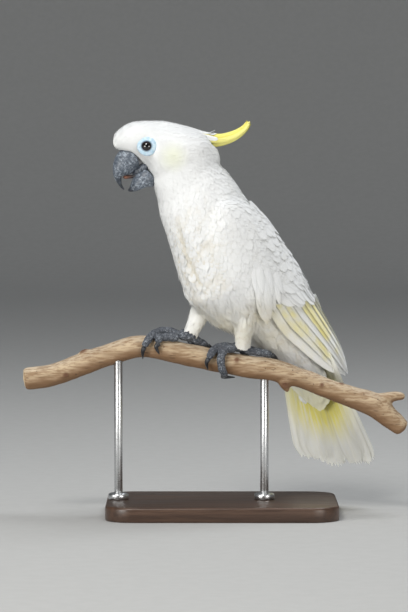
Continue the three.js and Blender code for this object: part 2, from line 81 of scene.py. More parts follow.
def head_point(points):
    return body_point(turn_z(points, HEAD_YAW - BODY_YAW) + HEAD_PIVOT)


def body_way(vectors):
    return turn_z(vectors, math.pi + BODY_YAW)


def head_way(vectors):
    return turn_z(vectors, math.pi + HEAD_YAW)


def unit(vectors):
    vectors = np.asarray(vectors, float)
    return vectors / np.maximum(np.linalg.norm(vectors, axis=-1, keepdims=True), 1e-12)


def spline_at(rows, t):
    """Values on the Catmull-Rom line through the rows, for t from 0 to 1."""
    rows = np.asarray(rows, float)
    p = np.vstack([2 * rows[0] - rows[1], rows, 2 * rows[-1] - rows[-2]])
    s = np.clip(np.asarray(t, float), 0, 1) * (len(rows) - 1)
    i = np.minimum(s.astype(int), len(rows) - 2)
    s = (s - i)[..., None]
    a, b, c, d = (p[i + k] for k in range(4))
    return 0.5 * (2 * b + (c - a) * s + (2 * a - 5 * b + 4 * c - d) * s**2
                  + (3 * b - a - 3 * c + d) * s**3)


def smooth_line(rows, count):
    """Points evenly spaced along the line through the rows."""
    fine = spline_at(rows, np.linspace(0, 1, 24 * len(rows)))
    lengths = np.r_[0, np.cumsum(np.linalg.norm(np.diff(fine[:, :3], axis=0), axis=1))]
    at = np.linspace(0, lengths[-1], count)
    return np.stack([np.interp(at, lengths, column) for column in fine.T], -1)


print("bill tip region:", np.round(head_point([77, 0, -26]), 1))

# %% [markdown]
# ## Camera, light and floor
# A long lens from the bird's left shows it nearly in profile, a little from the front. The light
# is a big soft lamp above and to the left, with weaker ones for fill, because white feathers show
# their shape only through gentle shading. The pale floor sweeps up behind into a plain backdrop.

# %% The camera
scene = bpy.context.scene
lens_data = bpy.data.cameras.new("camera")
lens_data.lens = 200
lens_data.sensor_width = 36
lens_data.clip_end = 50
camera = bpy.data.objects.new("camera", lens_data)
scene.collection.objects.link(camera)
scene.camera = camera
AIM = Vector((-0.0194, 0.0, 0.2257))
TILT = math.radians(3.0)
DISTANCE = 3.672
camera.location = AIM + DISTANCE * Vector((0, -math.cos(TILT), math.sin(TILT)))
camera.rotation_euler = (AIM - camera.location).to_track_quat("-Z", "Y").to_euler()
print("camera at", [round(v, 3) for v in camera.location])


# %% The lamps and the sky
def soft_lamp(name, place, target, size, power, colour):
    lamp = bpy.data.lights.new(name, "AREA")
    lamp.shape = "RECTANGLE"
    lamp.size, lamp.size_y = size
    lamp.energy = power
    lamp.color = colour
    holder = bpy.data.objects.new(name, lamp)
    holder.location = place
    holder.rotation_euler = (Vector(target) - Vector(place)).to_track_quat("-Z", "Y").to_euler()
    scene.collection.objects.link(holder)


soft_lamp("key_lamp", (-0.95, -1.95, 2.45), (0, 0, 0.25), (0.9, 0.9), 55, (1.0, 0.985, 0.96))
soft_lamp("top_lamp", (0.7, 0.5, 2.3), (0, 0, 0.25), (1.2, 1.2), 26, (0.94, 0.97, 1.0))
soft_lamp("fill_lamp", (1.7, -2.5, 0.38), (0.05, 0, 0.17), (1.6, 0.7), 33, (1.0, 0.97, 0.93))
soft_lamp("low_lamp", (-2.1, -2.0, 0.5), (0.05, 0, 0.16), (1.5, 0.8), 44, (1.0, 0.98, 0.94))

world = bpy.data.worlds.new("studio")
world.use_nodes = True
world.node_tree.nodes["Background"].inputs["Color"].default_value = (0.86, 0.9, 0.96, 1)
world.node_tree.nodes["Background"].inputs["Strength"].default_value = 0.5
scene.world = world
scene.view_settings.view_transform = "Standard"
scene.view_settings.exposure = 0.0


# %% [markdown]
# ## Making meshes and materials
# Every piece here is built from arrays of points and faces, which is quick and exact. Materials
# are built from nodes. A small helper adds a node and fills its sockets, either with a plain value
# or with a link, so that a material reads from top to bottom.


# %% Helpers for meshes
def mesh_piece(name, points, faces, material, slot):
    mesh = bpy.data.meshes.new(name)
    mesh.from_pydata((np.asarray(points, float) * MM).tolist(), [], faces)
    return dress(name, mesh, material)


def dress(name, mesh, material):
    mesh.validate()
    mesh.update()
    mesh.polygons.foreach_set("use_smooth", [True] * len(mesh.polygons))
    mesh.materials.clear()
    mesh.materials.append(material)
    piece = bpy.data.objects.new(name, mesh)
    scene.collection.objects.link(piece)
    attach(piece, "root")
    return piece


def mark(mesh, label, values):
    """Keeps one number for each point of a mesh, which a material can read."""
    values = np.asarray(values, np.float32)
    mesh.attributes.new(label, "FLOAT", "POINT").data.foreach_set("value", values)


def ring_faces(rings, around):
    """Quads between successive rings of points."""
    faces = []
    for i in range(rings - 1):
        a, b = i * around, (i + 1) * around
        faces += [(a + j, a + (j + 1) % around, b + (j + 1) % around, b + j) for j in range(around)]
    return faces


def closed_rings(rings):
    """A closed solid from rings of points, capped by a point in the middle of each end."""
    rings = np.asarray(rings, float)
    count, around = rings.shape[:2]
    points = np.vstack([rings.reshape(-1, 3), rings[0].mean(0)[None], rings[-1].mean(0)[None]])
    first, last = count * around, count * around + 1
    faces = ring_faces(count, around)
    faces += [(first, (j + 1) % around, j) for j in range(around)]
    end = (count - 1) * around
    faces += [(last, end + j, end + (j + 1) % around) for j in range(around)]
    inward = sum(np.dot(points[f[0]], np.cross(points[f[1]], points[f[2]])) for f in faces)
    inward += sum(np.dot(points[f[0]], np.cross(points[f[2]], points[f[3]])) for f in faces if len(f) > 3)
    return points, faces if inward > 0 else [f[::-1] for f in faces]


def joined(parts):
    """Several (points, faces) solids as one."""
    points, faces, start = [], [], 0
    for p, f in parts:
        points.append(p)
        faces += [tuple(i + start for i in face) for face in f]
        start += len(p)
    return np.vstack(points), faces


# %% Helpers for materials
def give(tree, made, values):
    """Fills a node's sockets. A plain number or colour is set on the socket itself."""
    for key, value in values.items():
        target = made.inputs[key]
        if isinstance(value, bpy.types.NodeSocket):
            tree.links.new(value, target)
        elif hasattr(target.default_value, "__len__"):
            target.default_value = list(value) + [1.0] * (len(target.default_value) - len(value))
        else:
            target.default_value = value


def node(tree, kind, inputs=None, **settings):
    made = tree.nodes.new(kind)
    for key, value in settings.items():
        setattr(made, key, value)
    give(tree, made, inputs or {})
    return made


def noise_at(tree, point, scale, detail=2.0, roughness=0.5):
    sockets = {"Vector": point, "Scale": scale, "Detail": detail, "Roughness": roughness}
    return node(tree, "ShaderNodeTexNoise", sockets).outputs["Fac"]


def bumped(tree, shader, height, strength, distance):
    bump = node(tree, "ShaderNodeBump", {"Strength": strength, "Distance": distance, "Height": height})
    tree.links.new(bump.outputs["Normal"], shader.inputs["Normal"])


def math_node(tree, operation, *values, clamp=False):
    return node(tree, "ShaderNodeMath", dict(enumerate(values)), operation=operation,
                use_clamp=clamp).outputs[0]


def times(tree, first, *others):
    for other in others:
        first = math_node(tree, "MULTIPLY", first, other)
    return first


def between(tree, value, low, high, to_low=0.0, to_high=1.0):
    """Maps value from low..high to to_low..to_high, with soft ends."""
    made = node(tree, "ShaderNodeMapRange", interpolation_type="SMOOTHSTEP")
    give(tree, made, {"Value": value, "From Min": low, "From Max": high, "To Min": to_low, "To Max": to_high})
    return made.outputs[0]


def blend_colour(tree, amount, first, second):
    made = node(tree, "ShaderNodeMix", data_type="RGBA")  # sockets 6 and 7 are its two colours
    give(tree, made, {0: amount, 6: first, 7: second})
    return made.outputs[2]


def attribute(tree, name):
    return node(tree, "ShaderNodeAttribute", attribute_name=name).outputs["Fac"]


def own_point(tree):
    return node(tree, "ShaderNodeTexCoord").outputs["Object"]


def near(tree, point, place, reach):
    """1 at a place in millimetres, falling softly to 0 at its reach."""
    ends = {0: point, 1: [v * MM for v in place]}
    away = node(tree, "ShaderNodeVectorMath", ends, operation="DISTANCE")
    return between(tree, away.outputs["Value"], reach * MM, 0.0)


def near_any(tree, spot, *places):
    """The strongest of several round patches, each a place and a reach."""
    strongest = near(tree, spot, *places[0])
    for place, reach in places[1:]:
        strongest = math_node(tree, "MAXIMUM", strongest, near(tree, spot, place, reach))
    return strongest


def material(name):
    made = bpy.data.materials.new(name)
    made.use_nodes = True
    tree = made.node_tree
    return made, tree, tree.nodes["Principled BSDF"]


SOCKETS = {"number": "NodeSocketFloat", "vector": "NodeSocketVector", "colour": "NodeSocketColor"}


def new_group(name, inputs, outputs):
    """A shader node group with named sockets. Returns the tree and its two end nodes."""
    tree = bpy.data.node_groups.new(name, "ShaderNodeTree")
    for label, value in inputs.items():
        kind = "vector" if value is None else "number"
        socket = tree.interface.new_socket(label, in_out="INPUT", socket_type=SOCKETS[kind])
        if value is not None:
            socket.default_value = value
    for label, kind in outputs.items():
        tree.interface.new_socket(label, in_out="OUTPUT", socket_type=SOCKETS[kind])
    return tree, tree.nodes.new("NodeGroupInput"), tree.nodes.new("NodeGroupOutput")


def use_group(tree, group, inputs):
    made = tree.nodes.new("ShaderNodeGroup")
    made.node_tree = group
    give(tree, made, inputs)
    return made


# %% [markdown]
# ### Floor
# One sheet is both floor and backdrop. It curves up well behind the bird, so no horizon line cuts
# across the view from any side.

# %% The floor and backdrop
floor_paint, tree, shader = material("floor_paint")
tone = between(tree, noise_at(tree, own_point(tree), 60.0, 3.0), 0.3, 0.7)
give(tree, shader, {"Roughness": 0.9,
                    "Base Color": blend_colour(tree, tone, (0.435, 0.435, 0.425), (0.45, 0.45, 0.44))})

FLAT, CURVE, WALL, AROUND = 5.0, 2.2, 9.0, 96  # metres, and the number of sides
quarter = np.linspace(0, math.pi / 2, 12)[1:]
radii = np.r_[np.linspace(0.0, FLAT, 12)[1:], FLAT + CURVE * np.sin(quarter)]
rises = np.r_[np.zeros(11), CURVE * (1 - np.cos(quarter))]
angles = np.linspace(0, 2 * math.pi, AROUND + 1)[:-1]
sweep = [[(r * math.cos(a), r * math.sin(a), h) for a in angles]
         for r, h in zip(np.r_[radii, radii[-1]], np.r_[rises, WALL])]
sheet_points = np.array(sweep).reshape(-1, 3)
floor_mesh = bpy.data.meshes.new("floor")
floor_mesh.from_pydata(
    sheet_points.tolist() + [(0, 0, 0)],
    [],
    [f[::-1] for f in ring_faces(len(sweep), AROUND)]
    + [(len(sheet_points), j, (j + 1) % AROUND) for j in range(AROUND)],
)
floor_mesh.polygons.foreach_set("use_smooth", [True] * len(floor_mesh.polygons))
floor_mesh.materials.append(floor_paint)
floor = bpy.data.objects.new("floor", floor_mesh)
scene.collection.objects.link(floor)
print("floor reaches", radii[-1], "m")


# %% [markdown]
# ## The skin
# Under the feathers a bird is one smooth bag of skin with no seams. The solid model's head, neck,
# body, legs and wings are melted into one surface with a voxel remesh, then eased by moving each
# point towards its neighbours. Last, the surface sinks by the depth of the coat, so that the
# feathers laid on it come out to the bird's true outline.


# %% Read pieces of the solid model
def node_arrays(name):
    """A node's points in millimetres, joined where they meet, and its triangles."""
    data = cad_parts[name].data
    flat = np.empty(len(data.vertices) * 3, np.float32)
    data.vertices.foreach_get("co", flat)
    data.calc_loop_triangles()
    corners = np.empty(len(data.loop_triangles) * 3, np.int32)
    data.loop_triangles.foreach_get("vertices", corners)
    points, index = np.unique(
        np.round(flat.reshape(-1, 3).astype(float) / MM, 3), axis=0, return_inverse=True
    )
    triangles = index.reshape(-1)[corners].reshape(-1, 3)
    keep = (triangles[:, 0] != triangles[:, 1]) & (triangles[:, 1] != triangles[:, 2])
    keep &= triangles[:, 0] != triangles[:, 2]
    return points, triangles[keep]


def point_normals(points, triangles):
    a, b, c = (points[triangles[:, i]] for i in range(3))
    square = np.cross(b - a, c - a)
    total = np.zeros_like(points)
    for i in range(3):
        np.add.at(total, triangles[:, i], square)
    return unit(total)


def remeshed(parts, voxel, grow=0.0):
    """One closed surface of quads round several solids, as points and faces."""
    grown = [(p + grow * point_normals(p, t), t) for p, t in parts]
    points, faces = joined([(p, t.tolist()) for p, t in grown])
    mesh = bpy.data.meshes.new("to_melt")
    mesh.from_pydata((points * MM).tolist(), [], faces)
    holder = bpy.data.objects.new("to_melt", mesh)
    scene.collection.objects.link(holder)
    melt = holder.modifiers.new("melt", "REMESH")
    melt.mode = "VOXEL"
    melt.voxel_size = voxel * MM
    result = holder.evaluated_get(bpy.context.evaluated_depsgraph_get()).to_mesh()
    flat = np.empty(len(result.vertices) * 3, np.float32)
    result.vertices.foreach_get("co", flat)
    quads = np.empty(len(result.loops), np.int32)
    result.loops.foreach_get("vertex_index", quads)
    quads = quads.reshape(-1, 4)
    made = flat.reshape(-1, 3).astype(float) / MM
    bpy.data.objects.remove(holder)
    bpy.data.meshes.remove(mesh)
    return made, quads


def halves(quads):
    return np.vstack([quads[:, [0, 1, 2]], quads[:, [0, 2, 3]]])


def halves_of(faces):
    """Triangles of a list of faces with three or four corners."""
    split = [(f[0], f[1], f[2]) for f in faces] + [(f[0], f[2], f[3]) for f in faces if len(f) > 3]
    return np.array(split)


def edges_of(quads):
    pairs = np.vstack([quads[:, [i, (i + 1) % 4]] for i in range(4)])
    return np.unique(np.sort(pairs, 1), axis=0)


def eased(values, edges, rounds, amount):
    """Moves each value towards the mean of its neighbours, a number of times."""
    values = np.asarray(values, float)
    flat = values.reshape(len(values), -1)
    count = np.bincount(edges.ravel(), minlength=len(flat))[:, None]
    amount = np.broadcast_to(np.asarray(amount, float), len(flat))[:, None]
    for _ in range(rounds):
        total = np.stack(
            [
                np.bincount(edges[:, 0], column[edges[:, 1]], len(flat))
                + np.bincount(edges[:, 1], column[edges[:, 0]], len(flat))
                for column in flat.T
            ],
            -1,
        )
        flat = flat + amount * (total / count - flat)
    return flat.reshape(values.shape)


def tree_of(points, triangles):
    return BVHTree.FromPolygons(points.tolist(), triangles.tolist(), all_triangles=True)


FLESH = ["head", "neck", "trunk", "crest_front", "leg_left", "leg_right",
         "wing_left_coverts", "wing_right_coverts"]
flesh = {name: node_arrays(name) for name in FLESH}
LEG_PADDING, VOXEL = 0.9, 1.5  # easing thins the legs, so they start a little thicker
for name in ("leg_left", "leg_right"):
    points, triangles = flesh[name]
    flesh[name] = (points + LEG_PADDING * point_normals(points, triangles), triangles)
skin_points, skin_quads = remeshed([flesh[n] for n in FLESH], VOXEL, grow=0.3)
skin_edges = edges_of(skin_quads)
print("skin quads:", len(skin_quads))

# %% [markdown]
# Each point of the skin keeps which part of the bird it belongs to. The parts melt softly into
# one another, and so do the lengths and depths of their feathers.

# %% Find what part of the bird each point of the skin belongs to
all_flesh, all_faces = joined([(flesh[n][0], flesh[n][1].tolist()) for n in FLESH])
flesh_tree = BVHTree.FromPolygons(all_flesh.tolist(), all_faces)
owner_of_face = np.repeat(np.arange(len(FLESH)), [len(flesh[n][1]) for n in FLESH])
owner = owner_of_face[[flesh_tree.find_nearest(p)[2] for p in skin_points.tolist()]]
KINDS = {"head": [0, 3], "neck": [1], "body": [2], "leg": [4, 5], "wing": [6, 7]}
share = {
    kind: eased(np.isin(owner, numbers).astype(float), skin_edges, 14, 0.6)
    for kind, numbers in KINDS.items()
}

SIDES = {"left": 1, "right": -1}
EYE_AT = {side: head_point([54.2, 22.6 * sign, 20.2]) for side, sign in SIDES.items()}
EYE_AXIS = {side: head_way(unit([0.3, sign, 0.08])) for side, sign in SIDES.items()}
RING_AT = {side: EYE_AT[side] + 2.6 * EYE_AXIS[side] for side in EYE_AT}
BILL_ROOT = head_point([62, 0, 0])


def soft_step(value, low, high):
    t = np.clip((np.asarray(value, float) - low) / (high - low), 0, 1)
    return t * t * (3 - 2 * t)


def from_eye(points):
    return np.min([np.linalg.norm(points - RING_AT[s], axis=-1) for s in RING_AT], 0)


beak = {name: node_arrays(name) for name in ("bill_upper", "bill_lower", "tongue")}
beak_points, beak_faces = joined([(p, t.tolist()) for p, t in beak.values()])
beak_tree = BVHTree.FromPolygons(beak_points.tolist(), beak_faces)


def from_beak(points):
    """Distance to the bill, below zero inside it."""
    away = np.empty(len(points))
    for i, p in enumerate(points.tolist()):
        place, normal, _, distance = beak_tree.find_nearest(p)
        away[i] = distance if (Vector(p) - place).dot(normal) > 0 else -distance
    return away


print({kind: round(float(v.mean()), 3) for kind, v in share.items()})

# %% Ease the skin
def head_local(points):
    """Row-frame points in the head's own frame."""
    return turn_z(points - head_point([0, 0, 0]), -(math.pi + HEAD_YAW))


def body_local(points):
    return turn_z(np.asarray(points) - [BODY_X, 0, 0], -(math.pi + BODY_YAW))


def kept_full(points, rounds, amount):
    """Eases points without shrinking them: each step in is followed by a step out."""
    for _ in range(rounds):
        points = eased(points, skin_edges, 1, amount)
        points = eased(points, skin_edges, 1, -1.012 * np.asarray(amount))
    return points


slim = np.clip(1.4 * share["leg"], 0, 1)
fresh = eased(skin_points, skin_edges, 4, 0.5)
front = soft_step(head_local(skin_points)[:, 0], -24, -4)
throat = eased(np.clip(8 * share["head"] * share["neck"], 0, 1), skin_edges, 60, 0.8) * front
throat = np.clip(2.4 * throat / throat.max(), 0, 1)
groin = eased(np.clip(4 * share["leg"] * share["body"], 0, 1), skin_edges, 2, 0.6)
skin_points = kept_full(skin_points, 60, np.full(len(skin_points), 0.6))
for _ in range(3):
    skin_points = eased(skin_points, skin_edges, 120, 0.7 * throat)
skin_points = skin_points + (fresh - skin_points) * eased(slim, skin_edges, 6, 0.6)[:, None]
skin_points = eased(skin_points, skin_edges, 4, 0.5 * groin)
skin_points = eased(skin_points, skin_edges, 6, 0.5 * (1 - slim))
skin_points = eased(skin_points, skin_edges, 36, 0.6 * np.clip(1.5 * share["wing"], 0, 1))

# the last of the body flattens against the tail
down, twist = math.radians(68), math.radians(-12)
tail_along = np.array([-math.cos(down), 0, -math.sin(down)])
start = np.array([0, 1.0, 0])
tail_left = start * math.cos(twist) + np.cross(tail_along, start) * math.sin(twist)
tail_up = np.cross(tail_left, tail_along)
tail_basis = np.stack([tail_left, tail_along, tail_up])
TAIL_ROOT = np.array([-98.5, 0, 196])
to_tail = (body_local(skin_points) - TAIL_ROOT) @ tail_basis.T
late = soft_step(to_tail[:, 1], 35, 92) * (share["body"] > 0.4)
ceiling = -3.0 - 3.0 * (to_tail[:, 0] / 18) ** 2
lift = late * (-(to_tail[:, 2] + 3.0) * 0.36)
lift = np.where(to_tail[:, 2] + lift > ceiling, late * (ceiling - to_tail[:, 2]), lift)
skin_points = skin_points + lift[:, None] * body_way(tail_up)
skin_triangles = halves(skin_quads)
skin_normals = point_normals(skin_points, skin_triangles)
print("skin eased; the end of the body moved by up to", round(float(lift.max()), 1), "mm")

# %% [markdown]
# A smooth line runs through the bird from its bill to its tail. It gives the way the feathers lie,
# and it gives a flat map of the skin: the angle round the line, and the way along it.

# %% The line through the bird
SPINE = np.vstack([
    head_point([[84, 0, 8], [62, 0, 9], [36, 0, 9], [10, 0, 7]]),
    body_point([[34, -3.6, 338], [19.5, 0, 310], [2.6, 0, 285], [-14, 0, 257.5],
                [-40.5, 0, 234.5], [-64, 0, 212.5], [-84.5, 0, 184.5], [-103, 0, 156],
                [-116, 0, 130], [-124, 0, 107], [-131, 0, 80]]),
])
SPINE = smooth_line(SPINE, 90)
spine_ways = unit(np.gradient(SPINE, axis=0))
spine_length = np.r_[0, np.cumsum(np.linalg.norm(np.diff(SPINE, axis=0), axis=1))]
LEG_LINES = {"left": np.array([[25, -20, 238], [22.5, -5, 187.0]]),
             "right": np.array([[-9, 12, 250], [-32, 1, 200.0]])}
SIDE = body_way([0, 1, 0])  # the bird's own left


def spine_weight(points, reach):
    """How much each stretch of the line counts at each point. The nearest counts as 1."""
    squared = ((points[:, None] - SPINE[None]) ** 2).sum(-1)
    return np.exp(-(squared - squared.min(1, keepdims=True)) / reach**2)


def round_spine(points):
    """The angle round the line, 0 at the back, and the way along it, for each point."""
    weight = spine_weight(points, 12.0)
    weight /= weight.sum(1, keepdims=True)
    centre, way = weight @ SPINE, unit(weight @ spine_ways)
    left = unit(SIDE - way * (way @ SIDE)[:, None])
    out = points - centre
    angle = np.arctan2((out * left).sum(1), (out * np.cross(left, way)).sum(1))
    return angle, weight @ spine_length


# %% [markdown]
# ### Creases
# Loose feathers part along soft creases. On the chest they run down and forward; a few long ones
# are listed, and the rest follow noise. The skin dips at each crease, and a creamy shade is painted
# into it, which the feathers above it share.

# %% Sink the skin and crease it
beak_away = from_beak(skin_points)
face = 1 - soft_step(np.minimum(beak_away - 1.0, from_eye(skin_points) - 9.5), 0, 14)
DEPTH = {"head": 0.9, "neck": 1.4, "body": 1.9, "leg": 1.2, "wing": 1.3}
depth = sum(share[k] * DEPTH[k] for k in DEPTH) * (1 - 0.75 * face)

# long creases as x and z on the side that the wing's front edge faces, with width and strength
CREASES = [([(-47.5, 322), (-44, 297), (-38, 277), (-31, 263), (-24, 250)], 2.6, 1.0),
           ([(-34, 332), (-39, 318), (-47, 304)], 2.0, 0.7),
           ([(-16, 296), (-26, 281), (-33, 268)], 2.0, 0.7),
           ([(-12, 330), (-22, 318), (-27, 308)], 1.8, 0.45),
           ([(-3, 262), (-14, 250), (-20, 238)], 2.2, 0.6),
           ([(10, 268), (2, 252), (-4, 236)], 2.0, 0.5),
           ([(-41, 258), (-31, 240), (-18, 226)], 2.2, 0.5)]


def crease_at(points, normals):
    """0 on smooth plumage to 1 in the middle of a crease."""
    angle, along = round_spine(points)
    arc = np.abs(angle) * 46
    lines = np.zeros(len(points))
    for i, (a, s) in enumerate(zip(((arc - 0.5 * along) / 9).tolist(), (along / 34).tolist())):
        patch = noise.noise(Vector((a * 0.3, s * 0.9, 40.0)))
        if patch > -0.12:
            first = max(0.0, 1 - abs(noise.noise(Vector((a, s, 3.0)))) / 0.13)
            lines[i] = first * min(1.0, (patch + 0.12) * 3.2)
    lines = 0.8 * lines
    for places, width, strength in CREASES:
        line = smooth_line(np.column_stack([places, np.zeros(len(places))]), 40)[:, :2]
        away = np.sqrt(((points[:, None, [0, 2]] - line[None]) ** 2).sum(-1)).min(1)
        here = (1 - soft_step(away, 0, width * 2)) * strength * (normals[:, 1] < 0.15)
        lines = np.maximum(lines, here)
    return lines


where = share["body"] * (1 - share["leg"]) + 0.45 * share["neck"] + 0.22 * share["wing"]
where = np.clip(where * 1.15, 0, 1) * (1 - throat)
crease = eased(crease_at(skin_points, skin_normals) * where, skin_edges, 1, 0.4)
broad = np.array([noise.noise(Vector(p) / 19) for p in skin_points.tolist()]) * where
skin_points = skin_points + skin_normals * (0.7 * broad - depth - 1.0 * crease)[:, None]
skin_points = eased(skin_points, skin_edges, 1, 0.5)
skin_normals = point_normals(skin_points, skin_triangles)
skin_tree = tree_of(skin_points, skin_triangles)
print("skin depth from", round(float(depth.min()), 2), "to", round(float(depth.max()), 2), "mm")

# %% [markdown]
# ## The lie of the coat
# Feathers point back from the bill, over the crown, down the neck and body, and end at the tail.
# A smooth line through the bird gives that direction everywhere: each place takes the direction
# of the nearest stretch of the line, flattened onto the skin. Legs have their own lines.

# %% Which way the coat lies
def leg_share(points):
    """How much a point belongs to a leg, and the way down that leg."""
    best, way = np.zeros(len(points)), np.zeros((len(points), 3))
    for top, ankle in LEG_LINES.values():
        along = ankle - top
        t = np.clip(((points - top) @ along) / (along @ along), 0, 1.3)
        away = np.linalg.norm(points - top - t[:, None] * along, axis=1)
        radius = 16 - 8.6 * np.clip(t, 0, 1) ** 0.7
        here = soft_step(t, 0.15, 0.6) * (1 - soft_step(away, radius + 1, radius + 9))
        way = np.where((here > best)[:, None], unit(along), way)
        best = np.maximum(best, here)
    return best, way


def lie(points):
    """The way the coat lies at each point, before it is flattened onto the skin."""
    way = unit(spine_weight(points, 18.0) @ spine_ways)
    here, down = leg_share(points)
    back = unit(points - BILL_ROOT)
    front = 1 - soft_step(np.linalg.norm(points - BILL_ROOT, axis=1), 18, 42)
    way = way + (back - way) * (0.75 * front)[:, None]
    return unit(way + (down - way) * here[:, None])


def unwrap(points):
    """A place for each point on a flat map of the skin: round the spine, and along it."""
    angle, along = round_spine(points)
    u = 0.02 + 0.60 * (angle / (2 * math.pi) + 0.5)
    v = 0.02 + 0.95 * along / spine_length[-1]
    here, _ = leg_share(points)
    for i, (top, ankle) in enumerate(LEG_LINES.values()):
        t = ((points - top) @ (ankle - top)) / ((ankle - top) @ (ankle - top))
        out = points - top - t[:, None] * (ankle - top)
        mine = (here > 0.5) & (np.linalg.norm(out, axis=1) < 22)
        around = np.arctan2(out[:, 1], out[:, 0])
        u = np.where(mine, 0.66 + 0.14 * (around / (2 * math.pi) + 0.5), u)
        v = np.where(mine, 0.05 + 0.45 * i + 0.4 * np.clip(t, 0, 1), v)
    return np.stack([u, np.clip(v, 0.0, 0.99)], -1)


print("line", round(float(spine_length[-1])), "mm long")

# %% [markdown]
# ## Feathers from arrays
# One feather is a thin closed blade: a row of four-sided or eight-sided rings along its shaft,
# narrow at the root, widest past the middle and blunt or pointed at its tip. All feathers of a kind
# are computed at once as one array, and become one mesh.


# %% Lay points on a surface, and walk over it
def laid(points, tree, normals, triangles, verts):
    """The nearest places on a surface and the smooth normals there."""
    places, index = np.empty_like(points), np.empty(len(points), int)
    for i, p in enumerate(points.tolist()):
        places[i], _, index[i], _ = tree.find_nearest(p)
    corners = triangles[index]
    a, b, c = (verts[corners[:, i]] for i in range(3))
    weight = np.stack(
        [
            np.linalg.norm(np.cross(b - places, c - places), axis=1),
            np.linalg.norm(np.cross(c - places, a - places), axis=1),
            np.linalg.norm(np.cross(a - places, b - places), axis=1),
        ],
        -1,
    )
    weight /= np.maximum(weight.sum(1, keepdims=True), 1e-12)
    return places, unit((normals[corners] * weight[..., None]).sum(1)), index, weight


def on_skin(points):
    return laid(points, skin_tree, skin_normals, skin_triangles, skin_points)


def at_roots(values, index, weight):
    return (values[skin_triangles[index]] * weight).sum(1)


def walk(roots, lengths, steps, drop, turn):
    """Lines that start at the roots and follow the lie of the coat over a surface. Where the
    surface ends or bends sharply away, as at an ankle, a feather runs straight on."""
    places, normals, index, weight = drop(roots)
    lines, ups, folds = [places], [normals], [at_roots(crease, index, weight)]
    for _ in range(steps - 1):
        way = lie(places)
        way = unit(way - normals * (way * normals).sum(1, keepdims=True))
        way = unit(way + np.tan(turn)[:, None] * np.cross(normals, way))
        ahead = places + way * (lengths / (steps - 1))[:, None]
        landed, found, index, weight = drop(ahead)
        loose = soft_step(np.linalg.norm(ahead - landed, axis=1), 0.45, 1.5)[:, None]
        loose = loose * (1 - at_roots(np.clip(2 * share["wing"], 0, 1), index, weight))[:, None]
        places, normals = landed + (ahead - landed) * loose, unit(found + (normals - found) * loose)
        lines.append(places)
        ups.append(normals)
        folds.append(at_roots(crease, index, weight))
    return np.stack(lines, 1), np.stack(ups, 1), np.stack(folds, 1)


